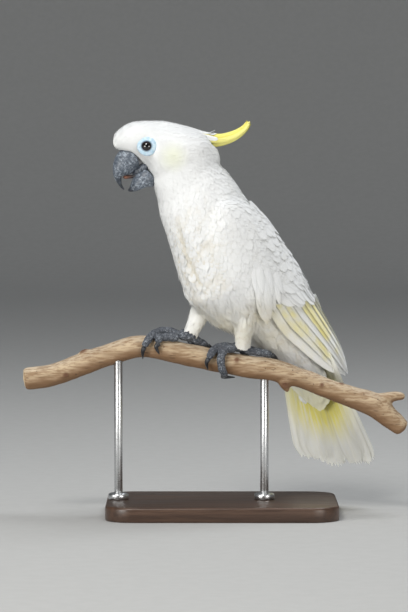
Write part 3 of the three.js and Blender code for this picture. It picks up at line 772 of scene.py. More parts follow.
def blades(lines, ups, widths, *, thick=0.3, camber=0.1, rise=(0.0, 1.0), tip=0.5, blunt=6.0,
           ragged=0.0, across=3, tilt=0.0, curl=0.0, end=0.0, rounding=0.0, fray=0.0, soft=0.8,
           flip=1, tone=None, fold=None, point=0.5):
    """Closed feather blades. lines and ups are feathers x rows x 3, widths one for each feather.
    soft is how far each blade takes the shading of the body under it, as loose barbs do."""
    count, rows = lines.shape[:2]
    t = np.linspace(0, 1, rows)
    profile = np.maximum(t + 0.02, 0) ** tip * np.maximum(1 - t**blunt, 0) ** point
    profile = np.maximum(profile / profile.max(), end * t**2)
    half = 0.5 * np.asarray(widths, float).reshape(-1, 1) * profile
    if ragged:
        half = half * (1 + ragged * chance.uniform(-1, 1, (count, rows)))
    forward = unit(np.gradient(lines, axis=1))
    side = unit(np.cross(ups, forward))
    up = np.cross(forward, side)
    low, high = (np.broadcast_to(np.asarray(r, float).reshape(-1, 1), (count, 1)) for r in rise)
    bend = np.asarray(curl, float).reshape(-1, 1) * np.maximum(t - 0.7, 0) ** 2 * 11
    middle = lines + up * (low + (high - low) * t + bend)[..., None]
    columns = np.linspace(-1, 1, across)
    body = thick * (0.35 + 0.65 * np.minimum(1, 6 * (1 - t))) * 0.5
    rim = [(a, 1.0) for a in columns] + [(a, -1.0) for a in columns[-2:0:-1]]
    notch = {a: fray * chance.uniform(-1, 0.4, (count, 1)) for a in columns}
    points, shading = [], []
    for a, face_side in rim:
        bulge = (1 - a * a) * face_side * body + 0.04 * face_side
        bow = -camber * a * a * half + tilt * a * half
        ahead = (notch[a] - rounding * a * a) * t**8
        place = middle + side * (a * half)[..., None] + up * (bulge + bow)[..., None]
        points.append(place + forward * ahead[..., None])
        slope = tilt - 2 * camber * a - 2 * a * body / np.maximum(half, 0.4)
        own = unit(up - side * (slope * np.ones_like(half))[..., None])
        shading.append(unit(own * (1 - soft) + ups * soft))
    around = len(rim)
    ends = np.stack([middle[:, 0], middle[:, -1] + forward[:, -1] * 0.15][: 1 if end else 2], 1)
    verts = np.concatenate([np.stack(points, 2).reshape(count, -1, 3), ends], 1)
    shade = np.stack(shading, 2).reshape(count, -1, 3)
    tips = [0] if end else [0, -1]
    shade = np.concatenate([shade, ups[:, tips]], 1)
    first, last, final = rows * around, rows * around + 1, (rows - 1) * around
    quads = [f[::-1] for f in ring_faces(rows, around)]
    fans = [(first, j, (j + 1) % around) for j in range(around)]
    if end:  # a wide end closes straight across, from its upper side to its under side
        under = [final + (2 * (across - 1) - j) % around for j in range(across)]
        fans += [(under[j], final + j + 1, final + j) for j in range(1, across - 1)]
        fans += [(under[j], under[j + 1], final + j + 1) for j in range(across - 2)]
    else:
        fans += [(last, final + (j + 1) % around, final + j) for j in range(around)]
    facing = np.where(np.arange(around) < across - 1, 1.0, -1.0)
    return dict(points=verts, quads=np.array(quads), fans=np.array(fans), shade=shade,
                facing=(np.tile(facing, rows - 1), np.concatenate([facing, np.ones(len(fans) - around)])),
                along=np.concatenate([np.repeat(t, around), [0.0, 1.0][: len(tips)]]),
                sideways=flip * np.concatenate([np.tile([a for a, _ in rim], rows), [0.0] * len(tips)]),
                fold=np.zeros((count, len(verts[0]))) if fold is None
                else np.concatenate([np.repeat(fold, around, 1), fold[:, tips]], 1),
                roots=lines[:, 0], tone=chance.uniform(0, 1, count) if tone is None else tone)


def feather_piece(name, sets, paint):
    """One mesh from several sets of blades, with its marks, its shading and its flat map."""
    gathered = {k: [] for k in ("points", "quads", "fans", "along", "sideways", "tone", "crease", "map",
                                "quad_shade", "fan_shade")}
    begin = 0
    for s in sets:
        count, size = s["points"].shape[:2]
        shift = begin + size * np.arange(count)[:, None, None]
        gathered["points"].append(s["points"].reshape(-1, 3))
        gathered["along"].append(np.tile(s["along"], count))
        gathered["sideways"].append(np.tile(s["sideways"], count))
        gathered["tone"].append(np.repeat(s["tone"], size))
        gathered["crease"].append(s["fold"].ravel())
        patch = np.stack([s["sideways"] * 0.5 + 0.5, s["along"]], -1) * 0.003
        gathered["map"].append((unwrap(s["roots"])[:, None] + patch[None]).reshape(-1, 2))
        for kind, facing in zip(("quad", "fan"), s["facing"]):
            corners = s[kind + "s"]
            gathered[kind + "s"].append((corners[None] + shift).reshape(-1, corners.shape[1]))
            shade = s["shade"][:, corners] * facing[None, :, None, None]
            gathered[kind + "_shade"].append(shade.reshape(-1, 3))
        begin += count * size
    g = {k: np.concatenate(v) for k, v in gathered.items()}
    mesh = bpy.data.meshes.new(name)
    mesh.vertices.add(len(g["points"]))
    mesh.vertices.foreach_set("co", (g["points"] * MM).astype(np.float32).ravel())
    corners = np.concatenate([g["quads"].ravel(), g["fans"].ravel()])
    mesh.loops.add(len(corners))
    mesh.loops.foreach_set("vertex_index", corners.astype(np.int32))
    quads, fans = len(g["quads"]), len(g["fans"])
    starts = np.concatenate([4 * np.arange(quads), 4 * quads + 3 * np.arange(fans)])
    mesh.polygons.add(len(starts))
    mesh.polygons.foreach_set("loop_start", starts.astype(np.int32))
    mesh.update(calc_edges=True)
    for label in ("along", "sideways", "tone", "crease"):
        mark(mesh, label, g[label])
    layer = mesh.uv_layers.new(name="OFBake")
    layer.data.foreach_set("uv", g["map"][corners].astype(np.float32).ravel())
    piece = dress(name, mesh, paint)
    mesh.normals_split_custom_set(np.vstack([g["quad_shade"], g["fan_shade"]]).astype(np.float32))
    print(f"{name}: {sum(len(s['points']) for s in sets)} feathers, {2 * quads + fans} triangles")
    return piece, 2 * quads + fans


# %% [markdown]
# ## The colour of the plumage
# The bird is white, with a faint cream warmth on its belly that is partly staining and partly painted
# shade, a lemon patch behind the cheek, and a yellow wash on the parts of the flight and tail feathers
# that are mostly hidden. Painted shade also darkens the creases. The skin and the feathers share one
# group of marks that depends only on place, so that they always agree.

# %% Marks by place, shared by skin and feathers
plumage_marks, enter, leave = new_group(
    "plumage_marks",
    {"Point": None, "Crease": 0.0},
    {"Colour": "colour", "TipShade": "number"},
)
tree = plumage_marks
spot = enter.outputs["Point"]
patches = noise_at(tree, spot, 60.0, 3.0)
# painted shade and staining: a cream tint on the lower belly and vent, where the body turns under
belly = near_any(tree, spot, ((40, -18, 205), 52), (body_point([0, 0, 205]), 60),
                 ((56, 10, 203), 50), (body_point([-52, -22, 203]), 50))
belly = times(tree, belly, between(tree, patches, 0.25, 0.75, 0.45, 1.0))
cheek = near_any(tree, spot, (head_point([27, 27, 9]), 21), (head_point([27, -27, 9]), 21))
colour = blend_colour(tree, times(tree, belly, 0.75), (0.83, 0.845, 0.845), (0.77, 0.70, 0.49))
colour = blend_colour(tree, times(tree, cheek, 0.55), colour, (0.80, 0.84, 0.54))
# painted shade: the creases are darkened to a creamy beige
colour = blend_colour(tree, times(tree, enter.outputs["Crease"], 0.6), colour, (0.66, 0.59, 0.43))
# the mask for painted shade at feather tips: the belly, which is also stained, and the breast
breast = near(tree, spot, (-34, -34, 272), 74)
give(tree, leave, {"Colour": colour, "TipShade": math_node(tree, "MAXIMUM", belly, breast)})

# %% Fine barbs as a bump, shared by every feather
barbs, enter, leave = new_group(
    "barbs",
    {"Along": 0.0, "Sideways": 0.0, "Tone": 0.0, "Count": 30.0},
    {"Height": "number", "Shaft": "number"},
)
tree = barbs
outward = math_node(tree, "ABSOLUTE", enter.outputs["Sideways"])
slanted = math_node(tree, "SUBTRACT", enter.outputs["Along"], times(tree, outward, 0.22))
wobble = node(tree, "ShaderNodeTexNoise", {"Scale": 3.0}, noise_dimensions="1D")
place = times(tree, enter.outputs["Along"], 6.0)
place = math_node(tree, "ADD", place, times(tree, enter.outputs["Tone"], 50.0))
tree.links.new(place, wobble.inputs["W"])
phase = times(tree, slanted, enter.outputs["Count"])
phase = math_node(tree, "ADD", phase, times(tree, wobble.outputs["Fac"], 1.5))
wave = math_node(tree, "SINE", times(tree, phase, 6.2832))
shaft = between(tree, outward, 0.10, 0.03)
height = math_node(tree, "ADD", times(tree, wave, 0.5), times(tree, shaft, 1.5))
give(tree, leave, {"Height": height, "Shaft": shaft})


# %% A plumage material
def plumage_paint(name, wash=None, barb_count=16.0, depth=0.00012, rim=0.06, yellow=(0.86, 0.76, 0.22)):
    """White plumage. wash makes, from the tree, how much yellow shows at each place."""
    made, tree, shader = material(name)
    marks = use_group(tree, plumage_marks, {"Point": own_point(tree), "Crease": attribute(tree, "crease")})
    along, sideways, tone = (attribute(tree, label) for label in ("along", "sideways", "tone"))
    fine = use_group(tree, barbs, {"Along": along, "Sideways": sideways, "Tone": tone, "Count": barb_count})
    shade = between(tree, tone, 0.0, 1.0, 0.0, 0.05)
    colour = blend_colour(tree, shade, marks.outputs["Colour"], (0.62, 0.63, 0.62))
    # painted shade: beige at the tips of some feathers on the belly and breast, where they overlap
    fringe = times(tree, between(tree, along, 0.70, 0.97), between(tree, tone, 0.35, 0.95),
                   times(tree, marks.outputs["TipShade"], 0.62))
    colour = blend_colour(tree, fringe, colour, (0.62, 0.54, 0.37))
    if wash:
        colour = blend_colour(tree, wash(tree, along, sideways, tone), colour, yellow)
        colour = blend_colour(tree, times(tree, fine.outputs["Shaft"], 0.35), colour, (0.90, 0.88, 0.80))
    dark_edge = between(tree, math_node(tree, "ABSOLUTE", sideways), 0.78, 1.0, 0.0, rim)
    give(tree, shader, {"Base Color": blend_colour(tree, dark_edge, colour, (0.58, 0.56, 0.46)),
                        "Roughness": 0.75, "Specular IOR Level": 0.3, "Sheen Weight": 0.12,
                        "Subsurface Weight": 0.15, "Subsurface Radius": (0.95, 0.9, 0.75),
                        "Subsurface Scale": 0.003})
    bumped(tree, shader, fine.outputs["Height"], 0.4, depth)
    return made


def wing_wash(tree, along, sideways, tone):
    """Pale yellow near one side of a flight feather, in broken patches, gone at the tip."""
    cloud = noise_at(tree, own_point(tree), 42.0)
    strip = between(tree, sideways, 0.35, -0.75)
    fade = between(tree, along, 1.0, 0.66, 0.0, 1.0)
    broken = between(tree, cloud, 0.36, 0.62, 0.1, 0.85)
    return times(tree, strip, fade, broken, tone)


coat_paint = plumage_paint("coat_white")
wing_paint = plumage_paint("wing_white", wing_wash, barb_count=70.0, depth=0.0002, rim=0.25)

skin_paint, tree, shader = material("skin_under_coat")
marks = use_group(tree, plumage_marks, {"Point": own_point(tree), "Crease": attribute(tree, "crease")})
grain = noise_at(tree, own_point(tree), 900.0, 3.0)
shade = between(tree, grain, 0.35, 0.65, 0.0, 0.3)
give(tree, shader, {"Base Color": blend_colour(tree, shade, marks.outputs["Colour"], (0.74, 0.72, 0.66)),
                    "Roughness": 0.9})
bumped(tree, shader, grain, 0.5, 0.0003)

skin = mesh_piece("skin", skin_points, skin_quads.tolist(), skin_paint, "plumage")
mark(skin.data, "crease", crease)
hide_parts(*FLESH)
print("plumage paints ready")

# %% [markdown]
# ## Body feathers
# Feathers grow in even spacing, so their roots are scattered like drops that keep their distance
# from one another. They are tiny on the face, small on the head and legs, and large on the body.


# %% Scatter roots that keep their distance
def scattered(spacing, wanted, tries=9.0):
    """Roots on the skin. spacing and wanted are one value for each point of the skin."""
    a, b, c = (skin_points[skin_triangles[:, i]] for i in range(3))
    area = 0.5 * np.linalg.norm(np.cross(b - a, c - a), axis=1)
    gap = spacing[skin_triangles].mean(1)
    load = area / gap**2 * tries * (wanted[skin_triangles].mean(1) > 0.5)
    number = chance.poisson(load)
    index = np.repeat(np.arange(len(number)), number)
    r1, r2 = np.sqrt(chance.uniform(size=len(index))), chance.uniform(size=len(index))
    weight = np.stack([1 - r1, r1 * (1 - r2), r1 * r2], -1)
    places = (skin_points[skin_triangles[index]] * weight[..., None]).sum(1)
    gaps = (spacing[skin_triangles[index]] * weight).sum(1)
    order = chance.permutation(len(index))
    cell = float(gaps.max())
    grid, kept = {}, []
    keys = np.floor(places / cell).astype(int)
    near_cells = [(i, j, k) for i in (-1, 0, 1) for j in (-1, 0, 1) for k in (-1, 0, 1)]
    listed, gap_list, key_list = places.tolist(), (gaps**2).tolist(), keys.tolist()
    for n in order.tolist():
        x, y, z = listed[n]
        i, j, k = key_list[n]
        limit = gap_list[n]
        for di, dj, dk in near_cells:
            hit = False
            for px, py, pz in grid.get((i + di, j + dj, k + dk), ()):
                if (px - x) ** 2 + (py - y) ** 2 + (pz - z) ** 2 < limit:
                    hit = True
                    break
            if hit:
                break
        else:
            grid.setdefault((i, j, k), []).append((x, y, z))
            kept.append(n)
    kept = np.array(kept)
    return places[kept], index[kept], weight[kept]


LENGTH = {"head": 9.0, "neck": 12.0, "body": 15.0, "leg": 11.0, "wing": 15.0}
WIDTH = {"head": 3.2, "neck": 5.0, "body": 6.6, "leg": 3.4, "wing": 8.0}
APART = {"head": 1.75, "neck": 2.4, "body": 3.0, "leg": 2.0, "wing": 3.5}
RISE = {"head": 1.0, "neck": 0.95, "body": 0.95, "leg": 0.9, "wing": 0.6}


def mixed(table, at_face):
    value = sum(share[k] * table[k] for k in table)
    return value + (table["head"] * at_face - value) * face


length_field, width_field = mixed(LENGTH, 0.45), mixed(WIDTH, 0.5)
apart_field, rise_field = mixed(APART, 0.62), mixed(RISE, 0.3)
under_tail = (late > 0.45) & (skin_normals @ body_way(tail_up) > -0.1)
turned_by, run = round_spine(skin_points)
back_of = body_local(skin_points)
height = back_of[:, 2]
under_coverts = (share["wing"] > 0.4) & (np.abs(turned_by) < 1.5) & (height < 252) & (height > 205)
past_tail_root = ((back_of - TAIL_ROOT) @ tail_basis.T)[:, 1]
bare = (from_eye(skin_points) < 9.6) | (beak_away < -0.4) | under_tail | under_coverts | (past_tail_root > 72)
roots, index, weight = scattered(apart_field, (~bare).astype(float))
lengths = at_roots(length_field, index, weight) * chance.uniform(0.82, 1.15, len(roots))
widths = at_roots(width_field, index, weight) * chance.uniform(0.85, 1.15, len(roots))
rises = at_roots(rise_field, index, weight) * chance.uniform(0.8, 1.2, len(roots))
small = at_roots(share["head"], index, weight) > 0.5
print("roots:", len(roots), "of them on the head:", int(small.sum()))

# %% Grow the coat
# a few stand out a little, but none on the head and legs
proud = chance.uniform(size=len(roots)) < 0.04
proud &= at_roots(share["body"] + share["wing"], index, weight) > 0.5
rises, widths = np.where(proud, 1.75 * rises, rises), np.where(proud, 1.3 * widths, widths)
lengths = np.where(proud, 1.1 * lengths, lengths)
coat_total = 0
lines, ups, folds = walk(roots, lengths, 6, on_skin, turn=chance.normal(0, 0.09, len(roots)))
left_half = (roots - SPINE[40]) @ SIDE > 0
for name, mine, soft in (("coat_head_left", small & left_half, 0.72),
                         ("coat_head_right", small & ~left_half, 0.72),
                         ("coat_left", ~small & left_half, 0.85), ("coat_right", ~small & ~left_half, 0.85)):
    made = blades(lines[mine], ups[mine], widths[mine], thick=0.14, camber=0.02,
                  rise=(-0.5, rises[mine]), tip=0.45, blunt=2.3, point=0.62, ragged=0.07, soft=soft,
                  curl=chance.normal(0, 0.05, int(mine.sum())), fold=folds[mine])
    coat_total += feather_piece(name, [made], coat_paint)[1]

# %% [markdown]
# Down shows where the long feathers stop: fine loose wisps along the belly, inside the thighs, round
# the ankles and under the tail.

# %% Wisps of down
down_field = soft_step(-skin_normals[:, 2], 0.3, 0.7) * (share["body"] > 0.6)
wisp_roots, index, weight = scattered(np.full(len(skin_points), 2.6), down_field * ~bare)
count = len(wisp_roots)
lines, ups, folds = walk(wisp_roots, chance.uniform(7, 13, count), 6, on_skin,
                         turn=chance.normal(0, 0.35, count))
hang = np.linspace(0, 1, 6) ** 2
lines[..., 2] -= hang * chance.uniform(0.2, 3.0, (count, 1))
wisps = blades(lines, ups, chance.uniform(0.7, 1.7, count), thick=0.14, camber=0.0, soft=0.9,
               rise=(-0.3, chance.uniform(0.8, 2.4, count)), tip=0.3, blunt=2.5, fold=folds)
coat_total += feather_piece("coat_down", [wisps], coat_paint)[1]

# %% [markdown]
# Behind the legs and under the tail the feathers are long, loose and fluffy, and each stands a
# little off the next.

# %% Long soft feathers under the tail
vent_at = run[np.linalg.norm(skin_points - np.array([30.0, -8.0, 215.0]), axis=1).argmin()]
faces_down = -skin_normals[:, 2] - 0.6 * skin_normals[:, 1]
vent_field = soft_step(run, vent_at - 10, vent_at + 12) * soft_step(faces_down, -0.15, 0.3)
vent_field = vent_field * (share["body"] > 0.6) * (share["leg"] < 0.15) * (late < 0.35)
vent_roots, index, weight = scattered(np.full(len(skin_points), 6.2), vent_field)
count = len(vent_roots)
lines, ups, folds = walk(vent_roots, chance.uniform(22, 34, count), 10, on_skin,
                         turn=chance.normal(0, 0.13, count))
vents = blades(lines, ups, chance.uniform(9, 14, count), thick=0.2, camber=0.05, soft=0.85, across=5,
               rise=(-0.4, chance.uniform(1.2, 3.6, count)), tip=0.45, blunt=2.4, ragged=0.08,
               end=0.25, fray=1.4, fold=folds)
coat_total += feather_piece("coat_vent", [vents], coat_paint)[1]

# %% [markdown]
# Each leg wears trousers: a sleeve of short feathers that point down the leg and stop in a loose
# fringe over the top of the foot.

# %% Trousers
sets = []
for top, ankle in LEG_LINES.values():
    count = 440
    axis, full = unit(ankle - top), np.linalg.norm(ankle - top)
    one = unit(np.cross(axis, [0.3, 1.0, 0]))
    two = np.cross(axis, one)
    t0 = 1.02 - 0.74 * chance.uniform(0, 1, count) ** 1.1
    t = t0[:, None] + np.linspace(0, 1, 7) * (chance.uniform(9, 14, count) / full)[:, None]
    t = np.minimum(t, 1.02 + chance.uniform(-0.05, 0.06, (count, 1)) + 0.01 * np.arange(7))
    radius = np.maximum(18 - 10.4 * np.clip(t, 0, 1) ** 0.75, 7.7)
    angle = chance.uniform(0, 2 * math.pi, count)[:, None]
    angle = angle + chance.normal(0, 0.12, (count, 1)) * np.linspace(0, 1, 7)
    out = np.cos(angle)[..., None] * one + np.sin(angle)[..., None] * two
    lines = top + axis * (t * full)[..., None] + out * radius[..., None]
    sets.append(blades(lines, out, chance.uniform(3.2, 5.0, count), thick=0.16, camber=0.06, soft=0.66,
                       rise=(-0.7, chance.uniform(0.2, 1.3, count)), tip=0.4, blunt=2.6, ragged=0.08))
coat_total += feather_piece("coat_trousers", sets, coat_paint)[1]

# %% [markdown]
# Between the wings lies the mantle: broad soft feathers over the back that bridge the grooves where
# the wings meet the body. They follow a copy of the skin that is eased until the grooves close.

# %% The mantle
closed = eased(skin_points, skin_edges, 110, 0.62)
closed_normals = point_normals(closed, skin_triangles)
closed = closed + 1.6 * closed_normals
closed_tree = tree_of(closed, skin_triangles)
mantle_field = (np.abs(turned_by) < 1.15) & (height < 326) & (height > 262) & (share["head"] < 0.1)
mantle_roots, index, weight = scattered(np.full(len(skin_points), 8.0), mantle_field.astype(float))
count = len(mantle_roots)
low_down = soft_step(body_local(mantle_roots)[:, 2], 300, 215)
lines, ups, folds = walk(mantle_roots, (24 + 14 * low_down) * chance.uniform(0.9, 1.1, count), 10,
                         lambda p: laid(p, closed_tree, closed_normals, skin_triangles, closed),
                         turn=chance.normal(0, 0.06, count))
spine_near = SPINE[((lines[:, 0, None] - SPINE[None]) ** 2).sum(-1).argmin(1)]
outward = unit(lines[:, 0] - spine_near)[:, None]
# those that would dive into a groove are left out
steady = ((ups * ups[:, :1]).sum(-1).min(1) > 0.8) & ((ups * outward).sum(-1).min(1) > 0.45)
lines, ups, folds, low_down = (values[steady] for values in (lines, ups, folds, low_down))
count = len(lines)
mantle = blades(lines, ups, (13 + 4 * low_down) * chance.uniform(0.9, 1.1, count), thick=0.2, camber=0.04,
                soft=0.8, across=5, rise=(-2.4, chance.uniform(0.2, 0.9, count)), tip=0.42, blunt=2.8,
                end=0.25, ragged=0.04, fray=0.8, fold=folds)
coat_total += feather_piece("coat_mantle", [mantle], coat_paint)[1]

# %% [markdown]
# ## Wing, tail and crest feathers
# The large feathers are placed one by one, as a taxidermist sets them. On the folded wing the
# outermost primary lies lowest, and each next feather covers its neighbour's inner side, so only a
# white outer strip and a line of yellow show of most of them.

# %% The folded wing's surface
WING_BED = [(45, -2, 358.5, 37, 43), (32.8, -1, 336, 42.4, 47.2), (19.5, 0, 310, 46.8, 52.6),
            (3.4, 0, 284.5, 49.3, 58.5), (-13.2, 0, 257, 49.4, 61.5), (-40, 0, 235, 47, 55),
            (-62, 0, 211, 43, 49), (-87, 0, 186, 40, 43), (-110, 0, 160, 38, 38),
            (-128, 0, 134, 34, 32)]
WING_EDGES = [(-26, 26, 4), (-38, 56, 5), (-36, 74, 5.8), (-29, 82, 6), (-20, 84, 5.5),
              (-4, 82, 4.5), (14, 76, 3.6), (36, 56, 2.6)]


def heading(rows, t, window):
    """Which way a line of rows runs at t, measured over a window on both sides of it."""
    return spline_at(rows, np.minimum(t + window, 1)) - spline_at(rows, np.maximum(t - window, 0))


def wing_at(side, t, across, lift=0.0, bridge=0.0):
    """A place on the wing: t from its bend to its tip, across from the lower edge to the back.
    bridge keeps the surface that high past the wing's rim, over the groove along the back."""
    t, across = np.broadcast_arrays(np.asarray(t, float), np.asarray(across, float))
    low, high, thick = np.moveaxis(spline_at(WING_EDGES, t), -1, 0)
    angle = np.radians(low + (high - low) * across)
    reach = 0.1 + 0.9 * t
    row = spline_at(WING_BED, reach)
    along = unit(heading(WING_BED, reach, 0.07)[..., :3])
    left = unit(np.array([0, 1.0, 0]) - along * along[..., 1:2])
    dorsal = np.cross(left, along)
    crown = np.maximum(np.sqrt(np.clip(1 - (2 * across - 1) ** 2, 0, 1)) ** 0.6 * thick, bridge)
    wide, deep = row[..., 3] + crown + lift, row[..., 4] + crown + lift
    out = left * np.cos(angle)[..., None] + dorsal * np.sin(angle)[..., None]
    p = row[..., :3] + left * (wide * np.cos(angle))[..., None] + dorsal * (deep * np.sin(angle))[..., None]
    flip = np.array([1, side, 1.0])
    return body_point(p * flip), body_way(out * flip)


def eased_lines(lines):
    for _ in range(2):
        lines[:, 1:-1] = 0.5 * lines[:, 1:-1] + 0.25 * (lines[:, 2:] + lines[:, :-2])
    return lines


def wing_lines(side, root_t, tip_t, root_across, tip_across, rows, lift=0.0, bend=0.0, bridge=0.0):
    s = np.linspace(0, 1, rows)
    t = root_t[:, None] + (tip_t - root_t)[:, None] * s
    across = root_across[:, None] + (tip_across - root_across)[:, None] * s + bend * s * (1 - s)
    return wing_at(side, t, across, lift, bridge)


def edge_t(side, across, height):
    """How far along the wing its surface comes down to a height."""
    t = np.linspace(0.05, 1, 120)
    z = wing_at(side, t[None, :], across[:, None])[0][..., 2]
    return np.array([np.interp(-h, -row, t) for row, h in zip(z, np.broadcast_to(height, len(z)))])


print("wing tip:", np.round(wing_at(1, 1.0, 0.5)[0], 1))

# %% Flight feathers
wing_total = 0
for name, side in SIDES.items():
    k = np.linspace(0, 1, 11)
    jitter = chance.normal(0, 1, (4, len(k)))
    tip_t = 0.985 - 0.03 * np.abs(k - 0.4) - 0.20 * np.maximum(k - 0.45, 0) ** 1.2 + 0.010 * jitter[0]
    tip_across = -0.25 + 1.2 * k + 0.02 * jitter[1]
    lines, ups = wing_lines(side, 0.42 + 0.05 * k, tip_t, 0.16 + 0.70 * k, tip_across, 18,
                            lift=-1.2, bend=0.08)
    widths = 20 - 2.0 * k + 1.4 * jitter[2]
    yellow = np.clip(0.25 + 0.55 * k + 0.35 * jitter[3], 0.05, 1.0)
    flight = blades(lines, ups, widths, thick=0.55, camber=0.05, tip=0.16, blunt=9, end=0.3,
                    across=9, tilt=-0.09 * side, rounding=4, fray=1.4, rise=(-2.2, 0.6),
                    soft=0.4, flip=side, tone=yellow)
    piece, triangles = feather_piece(f"flight_feathers_{name}", [flight], wing_paint)
    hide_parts(f"wing_{name}_flight_feathers")
    wing_total += triangles

# %% [markdown]
# Rows of larger coverts shingle over the roots of the flight feathers. Only the last row ends in a
# clear line. The others melt together, with a few feathers out of place, as on any living wing.

# %% Covert rows
for name, side in SIDES.items():
    sets = []
    cover_rows = [(229, 0.20, 19, 12, 1.3, (0.27, 0.93), 0), (244, 0.17, 17, 13, 0.9, (0.27, 0.93), 0)]
    for height in (228, 240, 252, 264, 277, 290, 303):  # these close the groove along the back
        low, high, _ = spline_at(WING_EDGES, edge_t(side, np.array([1.0]), height))[0]
        cover_rows.append((height, 0.2, 18, 5, 0.9, (0.88, (92.5 - low) / (high - low)), 3.8))
    for height, long, wide, count, rise, reach, bridge in cover_rows:
        across = np.linspace(*reach, count) + chance.normal(0, 0.014, count)
        tip_t = edge_t(side, across, height + 5 * (across - 0.5)) + chance.normal(0, 0.011, count)
        lines, ups = wing_lines(side, tip_t - long, tip_t, across - 0.01, across, 9, lift=-1.4, bridge=bridge)
        sets.append(blades(lines, ups, wide + chance.normal(0, 1.2, count), thick=0.3, camber=0.03,
                           tip=0.3, blunt=5, across=5, tilt=-0.03 * side,
                           rise=(-1.8, rise + chance.uniform(-0.3, 0.3, count)),
                           end=0.4, rounding=2, fray=0.8, ragged=0.03, soft=0.6))
    piece, triangles = feather_piece(f"coverts_{name}", sets, coat_paint)
    wing_total += triangles

# %% [markdown]
# At the wing's lower edge a few long flank feathers hang in a loose pointed lock.

# %% The hanging lock
# where each starts and stops (x, z), how wide it is and how far its tip stands off the body
LOCK = [((41, 272), (46.5, 211), 21, 7.5), ((43, 270), (49.5, 217), 12, 8), ((39, 268), (43.5, 219), 11, 6.6),
        ((47, 266), (54, 223), 11, 6), ((36, 270), (40, 228), 10, 5), ((52, 264), (60, 230), 10, 5),
        ((46, 278), (52, 238), 10, 4), ((38, 280), (42, 240), 10, 4), ((34, 276), (36, 240), 9, 3),
        ((54, 274), (63, 240), 10, 3)]
seen_from = Vector((0, 1, 0))
lines, ups = [], []
for (x0, z0), (x1, z1), *_ in LOCK:
    path = []
    for s in np.linspace(0, 1, 10):
        start = Vector((x0 + (x1 - x0) * s, -200, z0 + (z1 - z0) * s))
        hit, normal, _, _ = skin_tree.ray_cast(start, seen_from)
        path.append((list(hit), list(normal)) if hit else path[-1])
    lines.append([p for p, _ in path])
    ups.append([n for _, n in path])
lines, ups = eased_lines(np.array(lines)), unit(eased_lines(np.array(ups)))
mirror = np.array([1, -1, 1.0])
far_lines = body_point(body_local(lines) * mirror)
far_ups = body_way(turn_z(ups, -(math.pi + BODY_YAW)) * mirror)
wide, proud = np.array([row[2:] for row in LOCK], float).T
sets = [blades(l, u, wide, thick=0.4, camber=0.10, tip=0.55, blunt=1.8, point=0.85, across=9,
               soft=0.45, rise=(-0.8, proud), fray=0.8)
        for l, u in ((lines, ups), (far_lines, far_ups))]
piece, triangles = feather_piece("flank_locks", sets, coat_paint)
wing_total += triangles

# %% [markdown]
# The twelve tail feathers fan out from the rump. The middle pair lies on top, and each next pair
# goes one layer below, which leaves the underside as a shallow trough. Their ends are worn.

# %% Tail feathers
s = np.linspace(-1, 1, 12)
rows = np.linspace(0, 1, 22)
TAIL_RIGHT = 1.0 if (body_way(tail_left) @ [1, 0, 0]) > 0 else -1.0
lean = np.arctan2(s * np.where(s * TAIL_RIGHT > 0, 14, 24), 163)
reach = 162 * (1 - 0.05 * s**2) + chance.normal(0, 2.2, 12)
root_wide = np.where(s * TAIL_RIGHT > 0, 31, 19)
flat = np.stack([s[:, None] * root_wide[:, None] + np.sin(lean)[:, None] * reach[:, None] * rows,
                 np.cos(lean)[:, None] * reach[:, None] * rows,
                 (-np.abs(s) * 5.2 + 0.55)[:, None] - 1.6 * np.sin(math.pi * rows) * np.abs(s)[:, None]], -1)
roll = s * 0.26
flat_up = np.stack([np.sin(roll) * np.cos(lean), -np.sin(roll) * np.sin(lean), np.cos(roll)], -1)
lines = body_point(flat @ tail_basis + TAIL_ROOT)
ups = body_way(np.repeat((flat_up @ tail_basis)[:, None], len(rows), 1))
tail_set = blades(lines, ups, np.full(12, 35.0), thick=0.9, camber=0.05, tip=0.42, blunt=26,
                  end=0.72, across=21, rounding=5, fray=5.0, soft=0.15)
TAIL_GLOW, GLOW_REACH = body_point([-124.5, 0, 116.0]), 62  # where the underside is yellowest
LEMON = (0.87, 0.79, 0.20)


def tail_wash(tree, along, sideways, tone):
    """Lemon in the trough of the underside, fading out towards the tips and the outer feathers."""
    normal = node(tree, "ShaderNodeNewGeometry").outputs["Normal"]
    ends = {0: normal, 1: list(body_way(-tail_up))}
    under = node(tree, "ShaderNodeVectorMath", ends, operation="DOT_PRODUCT").outputs["Value"]
    pulled = {"X": times(tree, sideways, 3.0), "Y": times(tree, along, 1.6), "Z": times(tree, tone, 30.0)}
    streak = noise_at(tree, node(tree, "ShaderNodeCombineXYZ", pulled).outputs[0], 2.0, 3.0)
    glow = times(tree, near(tree, own_point(tree), TAIL_GLOW, GLOW_REACH), 1.5)
    glow = math_node(tree, "ADD", glow, 0.10)
    glow = times(tree, glow, between(tree, streak, 0.3, 0.6, 0.6, 1.05))
    return math_node(tree, "MULTIPLY", glow, between(tree, under, 0.0, 0.3, 0.25, 1.0), clamp=True)


def covert_wash(tree, along, sideways, tone):
    return times(tree, tail_wash(tree, along, sideways, tone), 0.4)


tail_paint = plumage_paint("tail_white", tail_wash, barb_count=120.0, depth=0.0002, rim=0.3, yellow=LEMON)

